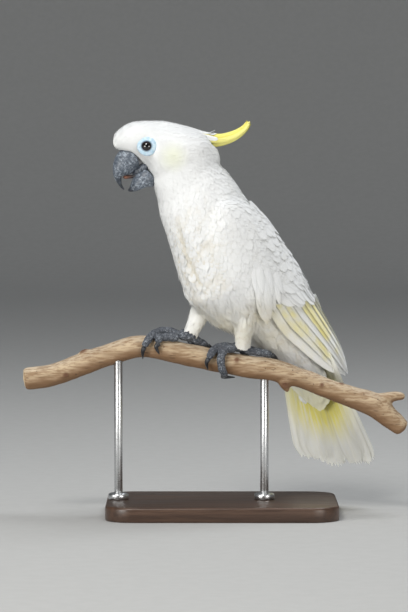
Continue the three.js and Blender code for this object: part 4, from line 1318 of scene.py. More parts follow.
# coverts above and below the tail's root, which close the step between body and tail
# each row is how far along the tail, how high, how wide and how far to its right
cover_sets = []
UNDER = [(45, -29.5, 22, 5), (58, -23.5, 22, 6), (71, -17, 18, 5),
         (84, -13, 12.5, 3), (97, -9.5, 8.5, 1), (112, -6, 5.5, 0)]
OVER = [(-34, 24, 20, 0), (-14, 17, 24, 0), (6, 10, 25, 0), (28, 5.5, 25, 0), (50, 3.0, 24, 0),
        (78, 2.0, 22, 0)]
for rows_of, sign, stops, round_off in ((UNDER, -1.0, (0.71, 0.56), 0.24), (OVER, 1.0, (1.0, 0.72), 0.22)):
    for k, stop in enumerate(stops):
        s9 = np.linspace(-1, 1, 7) + chance.normal(0, 0.04, 7)
        r = np.linspace(0, 1, 12)
        far = stop * (1 - round_off * s9**2) + chance.normal(0, 0.02, 7)
        d, lift, wide, aside = np.moveaxis(spline_at(rows_of, far[:, None] * r), -1, 0)
        droop = 0.3 + 4.5 * s9[:, None] ** 2 * (1 - 0.7 * r)
        flat = [s9[:, None] * wide + TAIL_RIGHT * aside, d, lift - sign * droop + sign * 0.8 * k]
        up9 = np.stack([0.35 * s9, 0 * s9, sign * np.ones(7)], -1)
        ups = body_way(np.repeat((unit(up9) @ tail_basis)[:, None], 12, 1))
        lines = body_point(np.stack(flat, -1) @ tail_basis + TAIL_ROOT)
        cover_sets.append(blades(lines, ups, np.full(7, 18.0), thick=0.35, camber=0.1, tip=0.35, blunt=3,
                                 across=7, soft=0.8, end=0.2, fray=0.8, rise=(-0.5, 0.6)))
covert_paint = plumage_paint("covert_cream", covert_wash, barb_count=40.0, rim=0.1, yellow=LEMON)
piece, triangles = feather_piece("tail_coverts", cover_sets, covert_paint)
wing_total += triangles
tail, triangles = feather_piece("tail_feathers", [tail_set], tail_paint)
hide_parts("tail")
wing_total += triangles

# %% [markdown]
# The crest is a bundle of long narrow plumes. They lie back over the crown and turn up at their
# tips. The front ones are white and part of the coat; the yellow ones show behind.

# %% Crest plumes
CREST = [(26, 41, 14, 5), (8, 35.5, 13, 6.2), (-9, 29.5, 11, 7), (-22, 26.6, 8.6, 7.6),
         (-33, 27.8, 6.4, 6.6), (-45, 32.2, 5.2, 5.8), (-54.5, 39, 4.2, 5), (-60, 47, 3, 4.2)]


def plumes(count, start, stop, width, shrink, spread):
    """Plumes that follow the crest's line, spaced round it."""
    rows = np.linspace(0, 1, 18)
    angle = np.linspace(*spread, count) + chance.normal(0, 0.09, count)
    stops = stop - chance.uniform(0, 0.3, count) ** 1.6
    stops[count // 2] = stop
    t = start + (stops - start)[:, None] * rows
    x, z, wide, deep = np.moveaxis(spline_at(CREST, t), -1, 0)
    shrink = shrink * (1 - 0.35 * soft_step(t, 0.62, 1.0))
    ahead = heading(CREST, t, 0.01)
    along = unit(np.stack([ahead[..., 0], 0 * x, ahead[..., 1]], -1))
    left = np.broadcast_to([0, 1.0, 0], along.shape)
    up = np.cross(left, along)
    up = up * np.sign(up[..., 2:3] + 1e-9)
    c, q = np.cos(angle)[:, None, None], np.sin(angle)[:, None, None]
    line = np.stack([x, 0 * x, z], -1) + left * c * (wide * shrink)[..., None]
    line = line + up * q * (deep * shrink)[..., None]
    out = unit(left * c / wide[..., None] + up * q / deep[..., None])
    return head_point(line), head_way(out), width * (1 + 0 * angle)


crest_paint, tree, shader = material("crest_lemon")
along, sideways, tone = (attribute(tree, label) for label in ("along", "sideways", "tone"))
fine = use_group(tree, barbs, {"Along": along, "Sideways": sideways, "Tone": tone, "Count": 60.0})
lemon = blend_colour(tree, tone, (0.80, 0.70, 0.07), (0.90, 0.86, 0.30))
lemon = blend_colour(tree, between(tree, along, 0.0, 0.35, 0.45, 0.0), lemon, (0.90, 0.88, 0.62))
lemon = blend_colour(tree, times(tree, fine.outputs["Shaft"], 0.25), lemon, (0.95, 0.92, 0.5))
give(tree, shader, {"Base Color": lemon, "Roughness": 0.6, "Subsurface Weight": 0.12,
                    "Subsurface Radius": (0.9, 0.8, 0.3), "Subsurface Scale": 0.002})
bumped(tree, shader, fine.outputs["Height"], 0.5, 0.00015)

sets = []
for count, start, stop, width, shrink, spread in (
    (9, 0.20, 1.0, 5.0, 0.5, (-2.6, 2.6)), (12, 0.14, 0.99, 4.6, 0.9, (-1.5, 4.3)),
):
    lines, ups, widths = plumes(count, start, stop, width, shrink, spread)
    sets.append(blades(lines, ups, widths, thick=0.4, camber=0.4, tip=0.3, blunt=6, across=5,
                       end=0.3, fray=0.8, ragged=0.03, soft=0.1,
                       rise=(0.0, chance.uniform(0.0, 0.9, count))))
crest, triangles = feather_piece("crest_plumes", sets, crest_paint)
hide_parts("crest_yellow")
lines, ups, widths = plumes(13, 0.05, 0.46, 4.2, 0.86, (0.2, 2.94))
front = blades(lines, ups, widths, thick=0.3, camber=0.2, tip=0.5, blunt=3, across=5, soft=0.5)
piece, more = feather_piece("crest_front_plumes", [front], coat_paint)
coat_total += triangles + more + wing_total
print("coat so far:", coat_total, "triangles")

# %% [markdown]
# ## The bill, mouth and eyes
# A cockatoo's bill is dark horn under grey-white powder from its feathers. The upper half hooks
# over the lower one. Both are lofts: rings that follow a bent line, each ring square to it.


# %% Bill halves
def head_loft(rows, rings=64, around=48, ridge=0.0, ends=0.05, keel=0.0):
    """Rings in the head's frame. rows are x, z, half width, half depth."""
    t = np.linspace(0, 1, rings)
    x, z, wide, deep = np.moveaxis(spline_at(rows, t), -1, 0)
    ahead = heading(rows, t, 0.01)
    along = unit(np.stack([ahead[:, 0], 0 * t, ahead[:, 1]], -1))
    left = np.broadcast_to([0, 1.0, 0], along.shape)
    up = np.cross(left, along)
    cap = np.sqrt(np.clip(1 - (1 - np.minimum(np.minimum(t, 1 - t) / ends, 1)) ** 2, 0.02, 1))
    angle = np.linspace(0, 2 * math.pi, around, endpoint=False)
    c, s = np.cos(angle), np.sin(angle)
    narrow = 1 - ridge * np.clip(s, 0, 1) ** 3 - keel * np.clip(-s, 0, 1) ** 2
    wide_here = (wide * cap)[:, None] * (c * narrow)[None]
    deep_here = (deep * cap)[:, None] * s[None]
    line = np.stack([x, 0 * t, z], -1)[:, None]
    return line + left[:, None] * wide_here[..., None] + up[:, None] * deep_here[..., None], t


UPPER_BILL = [(63.5, 10.8, 11, 11.5), (70, 6.7, 11.6, 13.6), (75.9, 0, 10.6, 12.8),
              (80.4, -6, 8.2, 9), (82.6, -11.2, 5.6, 5), (81.6, -16.6, 3.6, 2.9),
              (79.4, -21.9, 2, 1.6), (76, -26.4, 0.7, 0.7)]
LOWER_BILL = [(47.1, -8.6, 11, 10.5), (52.3, -13.5, 12.3, 11.8), (57.6, -18.3, 11.8, 10.6),
              (62.3, -22.2, 10, 8.2), (66, -24.9, 7.2, 5.6), (69.3, -26.6, 4.4, 3.0),
              (71.6, -26.6, 2, 1.4)]
TONGUE = [(56, -8, 4, 3), (63, -11.4, 3.6, 2.3), (70, -12.4, 3, 1.9), (77, -13, 2.8, 2.4)]


def roughened(points, amount, scale, seed):
    """Moves points by smooth noise, to take away a machine-made look."""
    away = np.array([noise.noise_vector(Vector(p) / scale + Vector((seed, 0, 0))) for p in points.tolist()])
    return points + amount * away


horn_marks, enter, leave = new_group(
    "horn_marks",
    {"Point": None, "Along": 0.0},
    {"Colour": "colour", "Rough": "number", "Height": "number"},
)
tree = horn_marks
spot, along = enter.outputs["Point"], enter.outputs["Along"]
powder = noise_at(tree, spot, 420.0, 6.0, 0.7)
broad = noise_at(tree, spot, 110.0, 3.0)
flaky = node(tree, "ShaderNodeTexVoronoi", {"Vector": spot, "Scale": 620.0}, feature="F1").outputs["Distance"]
dusty = times(tree, between(tree, powder, 0.42, 0.68), between(tree, broad, 0.3, 0.6, 0.25, 1.0))
dusty = times(tree, dusty, between(tree, along, 0.95, 0.55, 0.1, 1.0))
colour = blend_colour(tree, between(tree, along, 0.40, 0.85), (0.060, 0.075, 0.098), (0.012, 0.016, 0.024))
colour = blend_colour(tree, dusty, colour, (0.33, 0.375, 0.43))
chips = times(tree, between(tree, flaky, 0.30, 0.12, 0.0, 1.0), between(tree, broad, 0.45, 0.62))
colour = blend_colour(tree, times(tree, chips, 0.75), colour, (0.013, 0.017, 0.023))
give(tree, leave, {"Colour": colour, "Rough": math_node(tree, "ADD", 0.38, times(tree, dusty, 0.4)),
                   "Height": math_node(tree, "ADD", powder, times(tree, flaky, 0.5))})

horn_paint, tree, shader = material("bill_horn")
marks = use_group(tree, horn_marks, {"Point": own_point(tree), "Along": attribute(tree, "along")})
give(tree, shader, {"Base Color": marks.outputs["Colour"], "Roughness": marks.outputs["Rough"]})
bumped(tree, shader, marks.outputs["Height"], 0.45, 0.0003)


def with_along(piece, around, t):
    """Marks each ring with how far along the piece it lies."""
    mark(piece.data, "along", np.concatenate([np.repeat(t, around), [0.0, 1.0]]))
    return piece


for name, rows, ridge, keel in (("upper_bill", UPPER_BILL, 0.22, 0.0), ("lower_bill", LOWER_BILL, 0.0, 0.12)):
    rings, t = head_loft(rows, rings=90, around=64, ridge=ridge, keel=keel)
    if name == "lower_bill":
        # the lower half is hollow on top
        middle = rings.mean(1, keepdims=True)
        up = unit(rings[:, 16] - middle[:, 0])
        height = ((rings - middle) * up[:, None]).sum(-1)
        half = np.abs(height).max(1, keepdims=True)
        sideways = np.abs(rings[..., 1])
        inside = np.clip(1 - sideways / (sideways.max(1, keepdims=True) + 1e-9), 0, 1)
        hollow = soft_step(height / half, 0.1, 1.0) * soft_step(inside, 0.15, 0.6)
        hollow = hollow * soft_step(t, 0.2, 0.5)[:, None]
        rings = rings - up[:, None] * (hollow * half * 0.9)[..., None]
    points, faces = closed_rings(head_point(rings))
    points = roughened(points, 0.22, 7.0, 5)
    piece = with_along(mesh_piece(name, points, faces, horn_paint, "bill_horn"), 64, t)
    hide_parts("bill_upper" if name == "upper_bill" else "bill_lower")

# bare dark skin closes the corner of the mouth between the two halves
GAPE = [(46, 1.5, 7.5, 3.2), (52, -0.5, 9.0, 4.2), (58, -3.8, 8.8, 4.4), (63, -7.4, 7.2, 3.6),
        (67, -10.5, 4.5, 2.0)]
rings, t = head_loft(GAPE, rings=40, around=32, ends=0.2)
points, faces = closed_rings(head_point(rings))
gape = mesh_piece("gape_skin", roughened(points, 0.5, 4.0, 9), faces, horn_paint, "bill_horn")
with_along(gape, 32, 0.72 + 0 * t)

tongue_paint, tree, shader = material("tongue_skin")
wet = noise_at(tree, own_point(tree), 500.0, 4.0)
tint = blend_colour(tree, between(tree, attribute(tree, "along"), 0.5, 1.0), (0.035, 0.03, 0.03),
                    (0.23, 0.09, 0.05))
tint = blend_colour(tree, between(tree, wet, 0.4, 0.7, 0.0, 0.4), tint, (0.02, 0.018, 0.02))
give(tree, shader, {"Base Color": tint, "Roughness": 0.38})
bumped(tree, shader, wet, 0.4, 0.0003)
rings, t = head_loft(TONGUE, rings=40, around=28, ends=0.16)
points, faces = closed_rings(head_point(rings))
tongue = mesh_piece("tongue_soft", roughened(points, 0.2, 3.0, 2), faces, tongue_paint, "tongue")
with_along(tongue, 28, t)
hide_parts("tongue")
print("bill made")

# %% [markdown]
# The eye is a wet, nearly black ball, set deep in a ring of bare, wrinkled, pale-blue skin. The
# ring is a turned profile with a dark rolled lid at its inner edge, bent by fine creases.

# %% Eyes and their rings
eye_paint, tree, shader = material("wet_eye")
facing = attribute(tree, "facing")
iris = noise_at(tree, own_point(tree), 1500.0, 3.0)
brown = blend_colour(tree, iris, (0.010, 0.006, 0.005), (0.026, 0.014, 0.010))
pupil = blend_colour(tree, between(tree, facing, 0.83, 0.87), brown, (0.002, 0.002, 0.002))
give(tree, shader, {"Base Color": pupil, "Roughness": 0.04, "Coat Weight": 0.6, "Coat Roughness": 0.02})

ring_paint, tree, shader = material("eye_ring_skin")
across = attribute(tree, "along")
creases = node(tree, "ShaderNodeTexVoronoi", {"Vector": own_point(tree), "Scale": 900.0},
               feature="DISTANCE_TO_EDGE")
cloud = noise_at(tree, own_point(tree), 350.0, 4.0)
blue = blend_colour(tree, between(tree, cloud, 0.3, 0.7), (0.36, 0.52, 0.65), (0.56, 0.69, 0.78))
blue = blend_colour(tree, between(tree, across, 0.34, 0.16), blue, (0.05, 0.075, 0.11))
blue = blend_colour(tree, between(tree, across, 0.80, 0.98, 0.0, 0.7), blue, (0.36, 0.50, 0.62))
give(tree, shader, {"Base Color": blue, "Roughness": 0.5, "Subsurface Weight": 0.1,
                    "Subsurface Scale": 0.001})
bumped(tree, shader, creases.outputs["Distance"], 0.5, 0.00015)

EYE_RADIUS, RING_SIDES = 6.6, 120
# the ring's profile, as distances from the eye's axis and along it: lid, bare skin, then the rim
RING_PROFILE = [(4.9, 0.2, 0), (4.7, 1.2, 0), (4.95, 2.35, 0), (5.5, 2.75, 0), (6.1, 2.45, 0),
                (7.0, 2.15, 0), (8.2, 1.55, 0), (9.4, 0.75, 0), (10.1, 0.0, 0), (10.3, -1.6, 0),
                (7.4, -1.9, 0), (5.4, -1.2, 0)]


def ways_round(axis, count):
    """Unit directions all round an axis, and their angles."""
    angle = np.linspace(0, 2 * math.pi, count, endpoint=False)
    side_way = unit(np.cross(axis, [0, 0, 1.0]))
    up_way = np.cross(side_way, axis)
    return angle, np.cos(angle)[:, None] * side_way + np.sin(angle)[:, None] * up_way


for name in SIDES:
    axis, centre = EYE_AXIS[name], EYE_AT[name]
    angle, ways = ways_round(axis, 48)
    tilt = np.linspace(0.04, math.pi - 0.04, 40)
    rings = np.cos(tilt)[:, None, None] * axis + np.sin(tilt)[:, None, None] * ways[None]
    points, faces = closed_rings(centre + EYE_RADIUS * rings)
    piece = mesh_piece(f"eyeball_{name}", points, faces, eye_paint, "eye")
    mark(piece.data, "facing", ((points - centre) @ axis) / EYE_RADIUS)
    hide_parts(f"eye_{name}")
    profile = smooth_line(RING_PROFILE, 44)
    angle, ways = ways_round(axis, RING_SIDES)
    crease = 0.09 * np.sin(angle * 23 + 1.3) + 0.07 * np.sin(angle * 37) + 0.05 * np.sin(angle * 11 + 2)
    radius = profile[:, 0][:, None] * (1 + 0.02 * np.cos(2 * angle) + 0.01 * np.sin(3 * angle + 1))[None]
    strength = soft_step(profile[:, 0], 5.6, 7.0) * soft_step(profile[:, 1], -0.6, 0.4)
    folds = 0.13 * np.sin(profile[:, 0] * 5.2)[:, None] * strength[:, None]
    height = profile[:, 1][:, None] + crease[None] * strength[:, None] + folds
    rings = RING_AT[name] + radius[..., None] * ways[None] + height[..., None] * axis
    last = (len(rings) - 1) * RING_SIDES
    closing = [(last + j, last + (j + 1) % RING_SIDES, (j + 1) % RING_SIDES, j) for j in range(RING_SIDES)]
    faces = ring_faces(len(rings), RING_SIDES) + closing
    piece = mesh_piece(f"bare_ring_{name}", rings.reshape(-1, 3), faces, ring_paint, "bare_skin")
    mark(piece.data, "along", np.repeat(np.linspace(0, 1.1, len(rings)), RING_SIDES).clip(0, 1))
    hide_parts(f"eye_ring_{name}")
print("eyes made")

# %% [markdown]
# ## Feet
# A cockatoo's toes go two in front and two behind. Each toe is a string of soft pads between
# joints, covered with small grey scales. The toes and sole are tubes with a swelling at each
# joint, melted into one foot. The claws are separate, curved and smooth.

# %% Places on the perch
# the branch's line from one cut end to the other, as x, z and radius
PERCH = np.array([(-216, 145.6, 12.3), (-182, 151, 12.4), (-145, 164.7, 12.5), (-105, 178.2, 12),
                  (-88, 181.6, 12.4), (-67, 179.3, 12.1), (-34, 172, 12.1), (25, 161, 12.8),
                  (52, 157.1, 12.4), (84, 148, 11.2), (111, 137.7, 11.2), (138, 128, 12),
                  (166, 117, 13.2), (184, 103, 11.5), (198, 91, 9)], float)
bow = 5 - 5 * np.cos((PERCH[:, 0] - 20) * math.pi / 330)
PERCH_AXIS = np.stack([PERCH[:, 0], bow, PERCH[:, 1]], -1)


def on_perch(x, degrees, off):
    """A place off mm above the branch's surface, so many degrees from its front over its top."""
    i = max(1, int(np.argmax(PERCH[:, 0] >= x)))
    share_here = (x - PERCH[i - 1, 0]) / (PERCH[i, 0] - PERCH[i - 1, 0])
    axis = PERCH_AXIS[i - 1] + share_here * (PERCH_AXIS[i] - PERCH_AXIS[i - 1])
    along = unit(PERCH_AXIS[i] - PERCH_AXIS[i - 1])
    front = np.array([0, -1.0, 0])
    top = unit(np.cross(front, along))
    top = top if top[2] > 0 else -top
    radius = PERCH[i - 1, 2] + share_here * (PERCH[i, 2] - PERCH[i - 1, 2]) + off
    a = math.radians(degrees)
    return axis + front * radius * math.cos(a) + top * radius * math.sin(a)


def tube(line, radii, around=24, squash=1.0, ends=0.0):
    """A closed tube along a line, with rounded ends and radii of its own at each point."""
    ways = unit(np.gradient(line, axis=0))
    side = [unit(np.cross(ways[0], [0.1, 0.2, 1.0]))]
    for way in ways[1:]:
        side.append(unit(side[-1] - way * (side[-1] @ way)))
    side = np.array(side)
    top = np.cross(side, ways)
    radii = np.asarray(radii, float) * np.ones(len(line))
    if ends:
        run = np.r_[0, np.cumsum(np.linalg.norm(np.diff(line, axis=0), axis=1))]
        near_end = np.minimum(run, run[-1] - run) / ends
        radii = radii * np.sqrt(np.clip(1 - (1 - np.minimum(near_end, 1)) ** 2, 0.02, 1))
    angle = np.linspace(0, 2 * math.pi, around, endpoint=False)
    ring = np.cos(angle)[:, None] * side[:, None] * squash + np.sin(angle)[:, None] * top[:, None]
    return closed_rings(line[:, None] + radii[:, None, None] * ring)


# each toe's path and then its claw's, as x along the branch, degrees round it and mm above it
FEET = {
    "left": {
        "sole": [(24, 92, 12), (15, 84, 7.5), (8, 76, 6.5)],
        "inner_front": ([(10, 78, 5), (-3, 72, 4.6), (-11, 42, 4.4), (-15, 4, 4.2)],
                        [(-16, -14, 3.4), (-13, -48, 2.8)]),
        "outer_front": ([(12, 70, 4.8), (1, 56, 4.8), (-2, 18, 4.6), (1, -22, 4.4), (6, -50, 4.2)],
                        [(4, -84, 3.6), (17, -108, 2.6)]),
        "outer_back": ([(20, 88, 4.8), (32, 92, 4.4), (43, 98, 4.2), (52, 112, 4)],
                       [(56, 132, 3.2), (57, 160, 2.6)]),
        "inner_back": ([(18, 100, 4.8), (22, 130, 4.6), (25, 165, 4.4)],
                       [(27, 188, 3.4), (27, 214, 2.6)]),
    },
    "right": {
        "sole": [(-31, 96, 13), (-42, 90, 9), (-52, 84, 8)],
        "outer_front": ([(-50, 92, 7.5), (-66, 92, 8), (-76, 62, 5), (-82, 22, 4.4), (-84, 2, 4.2)],
                        [(-85, -16, 3.4), (-84, -56, 2.8)]),
        "inner_front": ([(-50, 72, 5), (-61, 62, 4.8), (-69, 46, 4.6), (-69, 24, 4.4)],
                        [(-71, 8, 3.6), (-67, -20, 2.8)]),
        "inner_back": ([(-40, 104, 6), (-35, 120, 5), (-30, 150, 4.4)],
                       [(-28, 172, 3.4), (-28, 198, 2.6)]),
        "outer_back": ([(-36, 90, 7), (-27, 110, 4.6), (-18, 128, 4.4)],
                       [(-12, 142, 3.2), (-8, 166, 2.6)]),
    },
}
print("toe tip:", np.round(on_perch(-15, 4, 4.2), 1))

# %% Skin of the feet and horn of the claws
foot_paint, tree, shader = material("scaled_skin")
spot = own_point(tree)
bent = node(tree, "ShaderNodeTexNoise", {"Vector": spot, "Scale": 300.0}).outputs["Color"]
moved = {0: bent, 1: [0.0008] * 3, 2: spot}  # the cells' edges wander by up to 0.8 mm
moved = node(tree, "ShaderNodeVectorMath", moved, operation="MULTIPLY_ADD").outputs[0]
cell = {"Vector": moved, "Scale": 760.0}
seam = node(tree, "ShaderNodeTexVoronoi", cell, feature="DISTANCE_TO_EDGE").outputs["Distance"]
cells = node(tree, "ShaderNodeTexVoronoi", cell, feature="F1").outputs["Color"]
blotch = noise_at(tree, spot, 120.0, 3.0)
own_tone = node(tree, "ShaderNodeSeparateXYZ", {"Vector": cells}).outputs["X"]
slate = blend_colour(tree, between(tree, own_tone, 0.25, 0.95), (0.10, 0.115, 0.14), (0.31, 0.34, 0.385))
slate = blend_colour(tree, between(tree, seam, 0.16, 0.04), slate, (0.018, 0.021, 0.028))
slate = blend_colour(tree, between(tree, blotch, 0.42, 0.7, 0.0, 0.55), slate, (0.05, 0.055, 0.07))
give(tree, shader, {"Base Color": slate, "Roughness": 0.62})
bumped(tree, shader, between(tree, seam, 0.0, 0.25), 0.8, 0.0004)

claw_paint, tree, shader = material("claw_horn")
streak = noise_at(tree, own_point(tree), 600.0, 4.0)
at_root = between(tree, attribute(tree, "along"), 0.25, 0.0, 0.0, 0.5)
pale = blend_colour(tree, at_root, (0.014, 0.015, 0.018), (0.08, 0.085, 0.095))
pale = blend_colour(tree, between(tree, streak, 0.4, 0.7, 0.0, 0.4), pale, (0.045, 0.048, 0.055))
give(tree, shader, {"Base Color": pale, "Roughness": 0.3})
bumped(tree, shader, streak, 0.2, 0.0002)

# %% Feet
for foot, parts in FEET.items():
    line = smooth_line([on_perch(*p) for p in parts["sole"]], 18)
    pads = [tube(line, np.linspace(7.2, 6, 18), 28, ends=6)]
    replaced = [f"foot_{foot}"]
    for toe, (path, tip) in [(k, v) for k, v in parts.items() if k != "sole"]:
        places = [on_perch(*p) for p in path]
        line = smooth_line(places, 44)
        t = np.linspace(0, 1, 44)
        joints = 0.5 + 0.5 * np.cos(2 * math.pi * t * len(path))
        radii = (5.0 - 0.9 * t) * (0.93 + 0.12 * joints)
        pads.append(tube(line, radii, 28, ends=4.2))
        replaced.append(f"toe_{foot}_{toe}")
        claw_line = smooth_line([places[-1]] + [on_perch(*p) for p in tip], 40)
        t = np.linspace(0, 1, 40)
        points, faces = tube(claw_line, 2.9 * (1 - t) ** 0.75 + 0.28, 24, squash=0.82)
        claw = mesh_piece(f"nail_{foot}_{toe}", points, faces, claw_paint, "claw_horn")
        with_along(claw, 24, t)
        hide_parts(f"claw_{foot}_{toe}")
    made = [(p, halves_of(f)) for p, f in pads]
    points, quads = remeshed(made, 0.55)
    edges = edges_of(quads)
    points = eased(points, edges, 8, 0.5)
    grainy = np.array([noise.noise(Vector(p) / 1.5) for p in points.tolist()])
    points = points + 0.16 * point_normals(points, halves(quads)) * grainy[:, None]
    piece = mesh_piece(f"foot_skin_{foot}", points, quads.tolist(), foot_paint, "scaled_skin")
    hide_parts(*replaced)
    print(piece.name, len(quads), "quads")

# %% [markdown]
# ## The perch and its stand
# The perch is a length of weathered branch with the bark gone. Knots, the stub of a twig and the
# fork are melted into the limb, and low noise bends it out of true. Its paint runs along the grain,
# and painted shade darkens its underside.

# %% Branch
perch_line = smooth_line(np.column_stack([PERCH_AXIS, PERCH[:, 2]]), 170)
perch_parts = [tube(perch_line[:, :3], perch_line[:, 3], 40, ends=1.5)]
for rows, first, last in (([(158, 4, 118), (176, 5, 125), (190, 6, 128), (199, 6, 127)], 9.5, 4.5),
                          ([(62, 0, 152), (68, -2, 140), (72, -3, 132.5)], 8.5, 2.4)):
    line = smooth_line(rows, 40)
    perch_parts.append(tube(line, np.linspace(first, last, 40), 28, ends=1.5))
points, quads = remeshed([(p, halves_of(f)) for p, f in perch_parts], 1.25)
edges = edges_of(quads)
points = eased(points, edges, 22, 0.5)
# x along the branch, degrees round it, height and reach
KNOTS = [(-145, 80, 3.0, 9), (15, 25, 1.6, 6), (71, -60, 2.6, 9), (107, 10, 1.3, 5), (126, 62, 1.5, 5),
         (-60, 200, 1.8, 7), (40, 190, 1.6, 6), (-170, -20, 1.3, 6)]
outward = point_normals(points, halves(quads))
swell = np.zeros(len(points))
for amount, long, round_it in ((1.1, 42, 15), (0.5, 15, 7), (0.22, 9, 2.2)):
    waves = [noise.noise(Vector((x / long, y / round_it, z / round_it))) for x, y, z in points.tolist()]
    swell += amount * np.array(waves)
knot_share = np.zeros(len(points))
for x, degrees, height, reach in KNOTS:
    away = np.linalg.norm(points - on_perch(x, degrees, 0), axis=1)
    swell += height * (1 - soft_step(away, 0, reach))
    swell -= 0.8 * height * (1 - soft_step(away, 0, reach * 0.35))
    knot_share = np.maximum(knot_share, 1 - soft_step(away, reach * 0.2, reach * 0.75))
points = points + outward * (swell - 0.15)[:, None]

wood_grain, enter, leave = new_group(
    "wood_grain",
    {"Point": None, "Stretch": 0.12, "Scale": 400.0},
    {"Fine": "number", "Broad": "number", "Crack": "number"},
)
tree = wood_grain
split = node(tree, "ShaderNodeSeparateXYZ", {"Vector": enter.outputs["Point"]})
pulled = {"X": times(tree, split.outputs["X"], enter.outputs["Stretch"]),
          "Y": split.outputs["Y"], "Z": split.outputs["Z"]}
pulled = node(tree, "ShaderNodeCombineXYZ", pulled).outputs[0]
fine = noise_at(tree, pulled, enter.outputs["Scale"], 6.0, 0.65)
broad = noise_at(tree, pulled, times(tree, enter.outputs["Scale"], 0.22), 3.0)
crack = noise_at(tree, pulled, times(tree, enter.outputs["Scale"], 1.6))
give(tree, leave, {"Fine": fine, "Broad": broad, "Crack": between(tree, crack, 0.36, 0.26)})

perch_paint, tree, shader = material("weathered_wood")
spot = own_point(tree)
grain = use_group(tree, wood_grain, {"Point": spot, "Stretch": 0.12, "Scale": 420.0})
facing = node(tree, "ShaderNodeNewGeometry").outputs["Normal"]
facing = node(tree, "ShaderNodeSeparateXYZ", {"Vector": facing}).outputs
upward = facing["Z"]
tan = blend_colour(tree, between(tree, grain.outputs["Broad"], 0.3, 0.7), (0.31, 0.22, 0.13),
                   (0.49, 0.38, 0.25))
# painted shade: darker brown where the wood faces down; the next line makes it paler and greyer where it
# faces up
tan = blend_colour(tree, between(tree, upward, 0.25, -0.6, 0.0, 0.85), tan, (0.17, 0.08, 0.032))
tan = blend_colour(tree, between(tree, upward, 0.2, 0.9, 0.0, 0.6), tan, (0.48, 0.40, 0.30))
streaks = between(tree, grain.outputs["Fine"], 0.56, 0.38, 0.0, 0.75)
tan = blend_colour(tree, streaks, tan, (0.20, 0.115, 0.055))
tan = blend_colour(tree, times(tree, grain.outputs["Crack"], 0.6), tan, (0.10, 0.055, 0.03))
tan = blend_colour(tree, attribute(tree, "knot"), tan, (0.13, 0.06, 0.03))
pits = node(tree, "ShaderNodeTexVoronoi", {"Vector": spot, "Scale": 95.0}, feature="F1")
pit = between(tree, pits.outputs["Distance"], 0.10, 0.05)
tan = blend_colour(tree, times(tree, pit, 0.7), tan, (0.08, 0.045, 0.025))
cut_end = between(tree, math_node(tree, "ABSOLUTE", facing["X"]), 0.85, 0.95)
tan = blend_colour(tree, cut_end, tan, (0.62, 0.47, 0.29))
give(tree, shader, {"Base Color": tan, "Roughness": 0.78})
relief = math_node(tree, "SUBTRACT", grain.outputs["Fine"], grain.outputs["Crack"])
bumped(tree, shader, math_node(tree, "SUBTRACT", relief, pit), 0.7, 0.0006)
perch = mesh_piece("branch", points, quads.tolist(), perch_paint, "perch_wood")
mark(perch.data, "knot", knot_share)
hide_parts("perch")
print("branch:", len(quads), "quads")

# %% [markdown]
# The stand is a turned-edge board of dark wood and two rods of brushed steel in small collars.

# %% Stand
stand_paint, tree, shader = material("stand_wood")
grain = use_group(tree, wood_grain, {"Point": own_point(tree), "Stretch": 0.06, "Scale": 260.0})
broad, fine = grain.outputs["Broad"], grain.outputs["Fine"]
dark = blend_colour(tree, between(tree, broad, 0.3, 0.7), (0.045, 0.024, 0.015), (0.085, 0.046, 0.028))
dark = blend_colour(tree, between(tree, fine, 0.6, 0.35, 0.0, 0.5), dark, (0.02, 0.011, 0.008))
give(tree, shader, {"Base Color": dark, "Roughness": between(tree, fine, 0.3, 0.7, 0.30, 0.44)})
bumped(tree, shader, fine, 0.15, 0.0003)


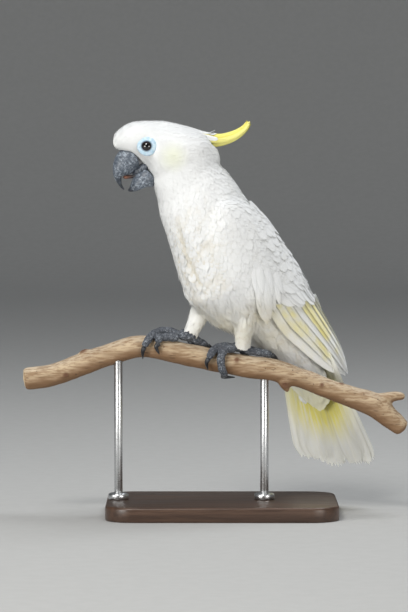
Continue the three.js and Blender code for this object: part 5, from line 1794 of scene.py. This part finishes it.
def rounded_slab(long, deep, corner, levels):
    """Rings of a board with round corners. levels are height and how far the edge is drawn in."""
    quarter = np.linspace(0, math.pi / 2, 14)
    rings = []
    for height, inset in levels:
        ring, r = [], corner - inset
        for k, (sx, sy) in enumerate(((1, 1), (-1, 1), (-1, -1), (1, -1))):
            a = quarter + k * math.pi / 2
            cx, cy = sx * (long / 2 - corner), sy * (deep / 2 - corner)
            ring += [(cx + r * math.cos(v), cy + r * math.sin(v), height) for v in a]
        rings.append(ring)
    return closed_rings(rings)


BOARD = (250, 170, 30)  # long, deep and the radius of its corners
EDGE = [(0.0, 1.0), (0.4, 0.3), (1.0, 0.0), (13.0, 0.0), (14.2, 0.25), (15.2, 0.9), (15.8, 1.9), (16.0, 3.2)]
slab = mesh_piece("stand_board", *rounded_slab(*BOARD, EDGE), stand_paint, "stand_wood")
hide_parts("stand_base")

steel_paint, tree, shader = material("brushed_steel")
split = node(tree, "ShaderNodeSeparateXYZ", {"Vector": own_point(tree)})
lined = {"X": times(tree, split.outputs["X"], 0.2), "Y": times(tree, split.outputs["Y"], 0.2),
         "Z": split.outputs["Z"]}
brushed = noise_at(tree, node(tree, "ShaderNodeCombineXYZ", lined).outputs[0], 2600.0, 3.0)
give(tree, shader, {"Metallic": 1.0, "Roughness": between(tree, brushed, 0.3, 0.7, 0.24, 0.4),
                    "Base Color": blend_colour(tree, brushed, (0.46, 0.47, 0.48), (0.62, 0.63, 0.64))})
bumped(tree, shader, brushed, 0.1, 0.0001)


def turned(x, profile):
    """A turned part standing at x: rings from pairs of radius and height."""
    angle = np.linspace(0, 2 * math.pi, 48, endpoint=False)
    rings = [[(x + r * math.cos(a), r * math.sin(a), h) for a in angle] for r, h in profile]
    return closed_rings(rings)


for i, x in enumerate((-112, 46), 1):
    low, high = (corner.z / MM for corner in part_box(f"stand_rod_{i}"))
    profile = [(4.4, low), (4.5, low + 0.2), (4.5, high - 0.2), (4.4, high)]
    rod = mesh_piece(f"rod_{i}", *turned(x, profile), steel_paint, "steel")
    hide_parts(f"stand_rod_{i}")
    low, high = (corner.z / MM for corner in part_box(f"stand_collar_{i}"))
    profile = [(4.7, low), (10.6, low), (11.0, low + 0.4), (11.0, high - 2.4), (10.6, high - 1.2),
               (9.4, high - 0.3), (7.5, high), (4.7, high)]
    collar = mesh_piece(f"collar_{i}", *turned(x, profile), steel_paint, "steel")
    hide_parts(f"stand_collar_{i}")
print("stand made")
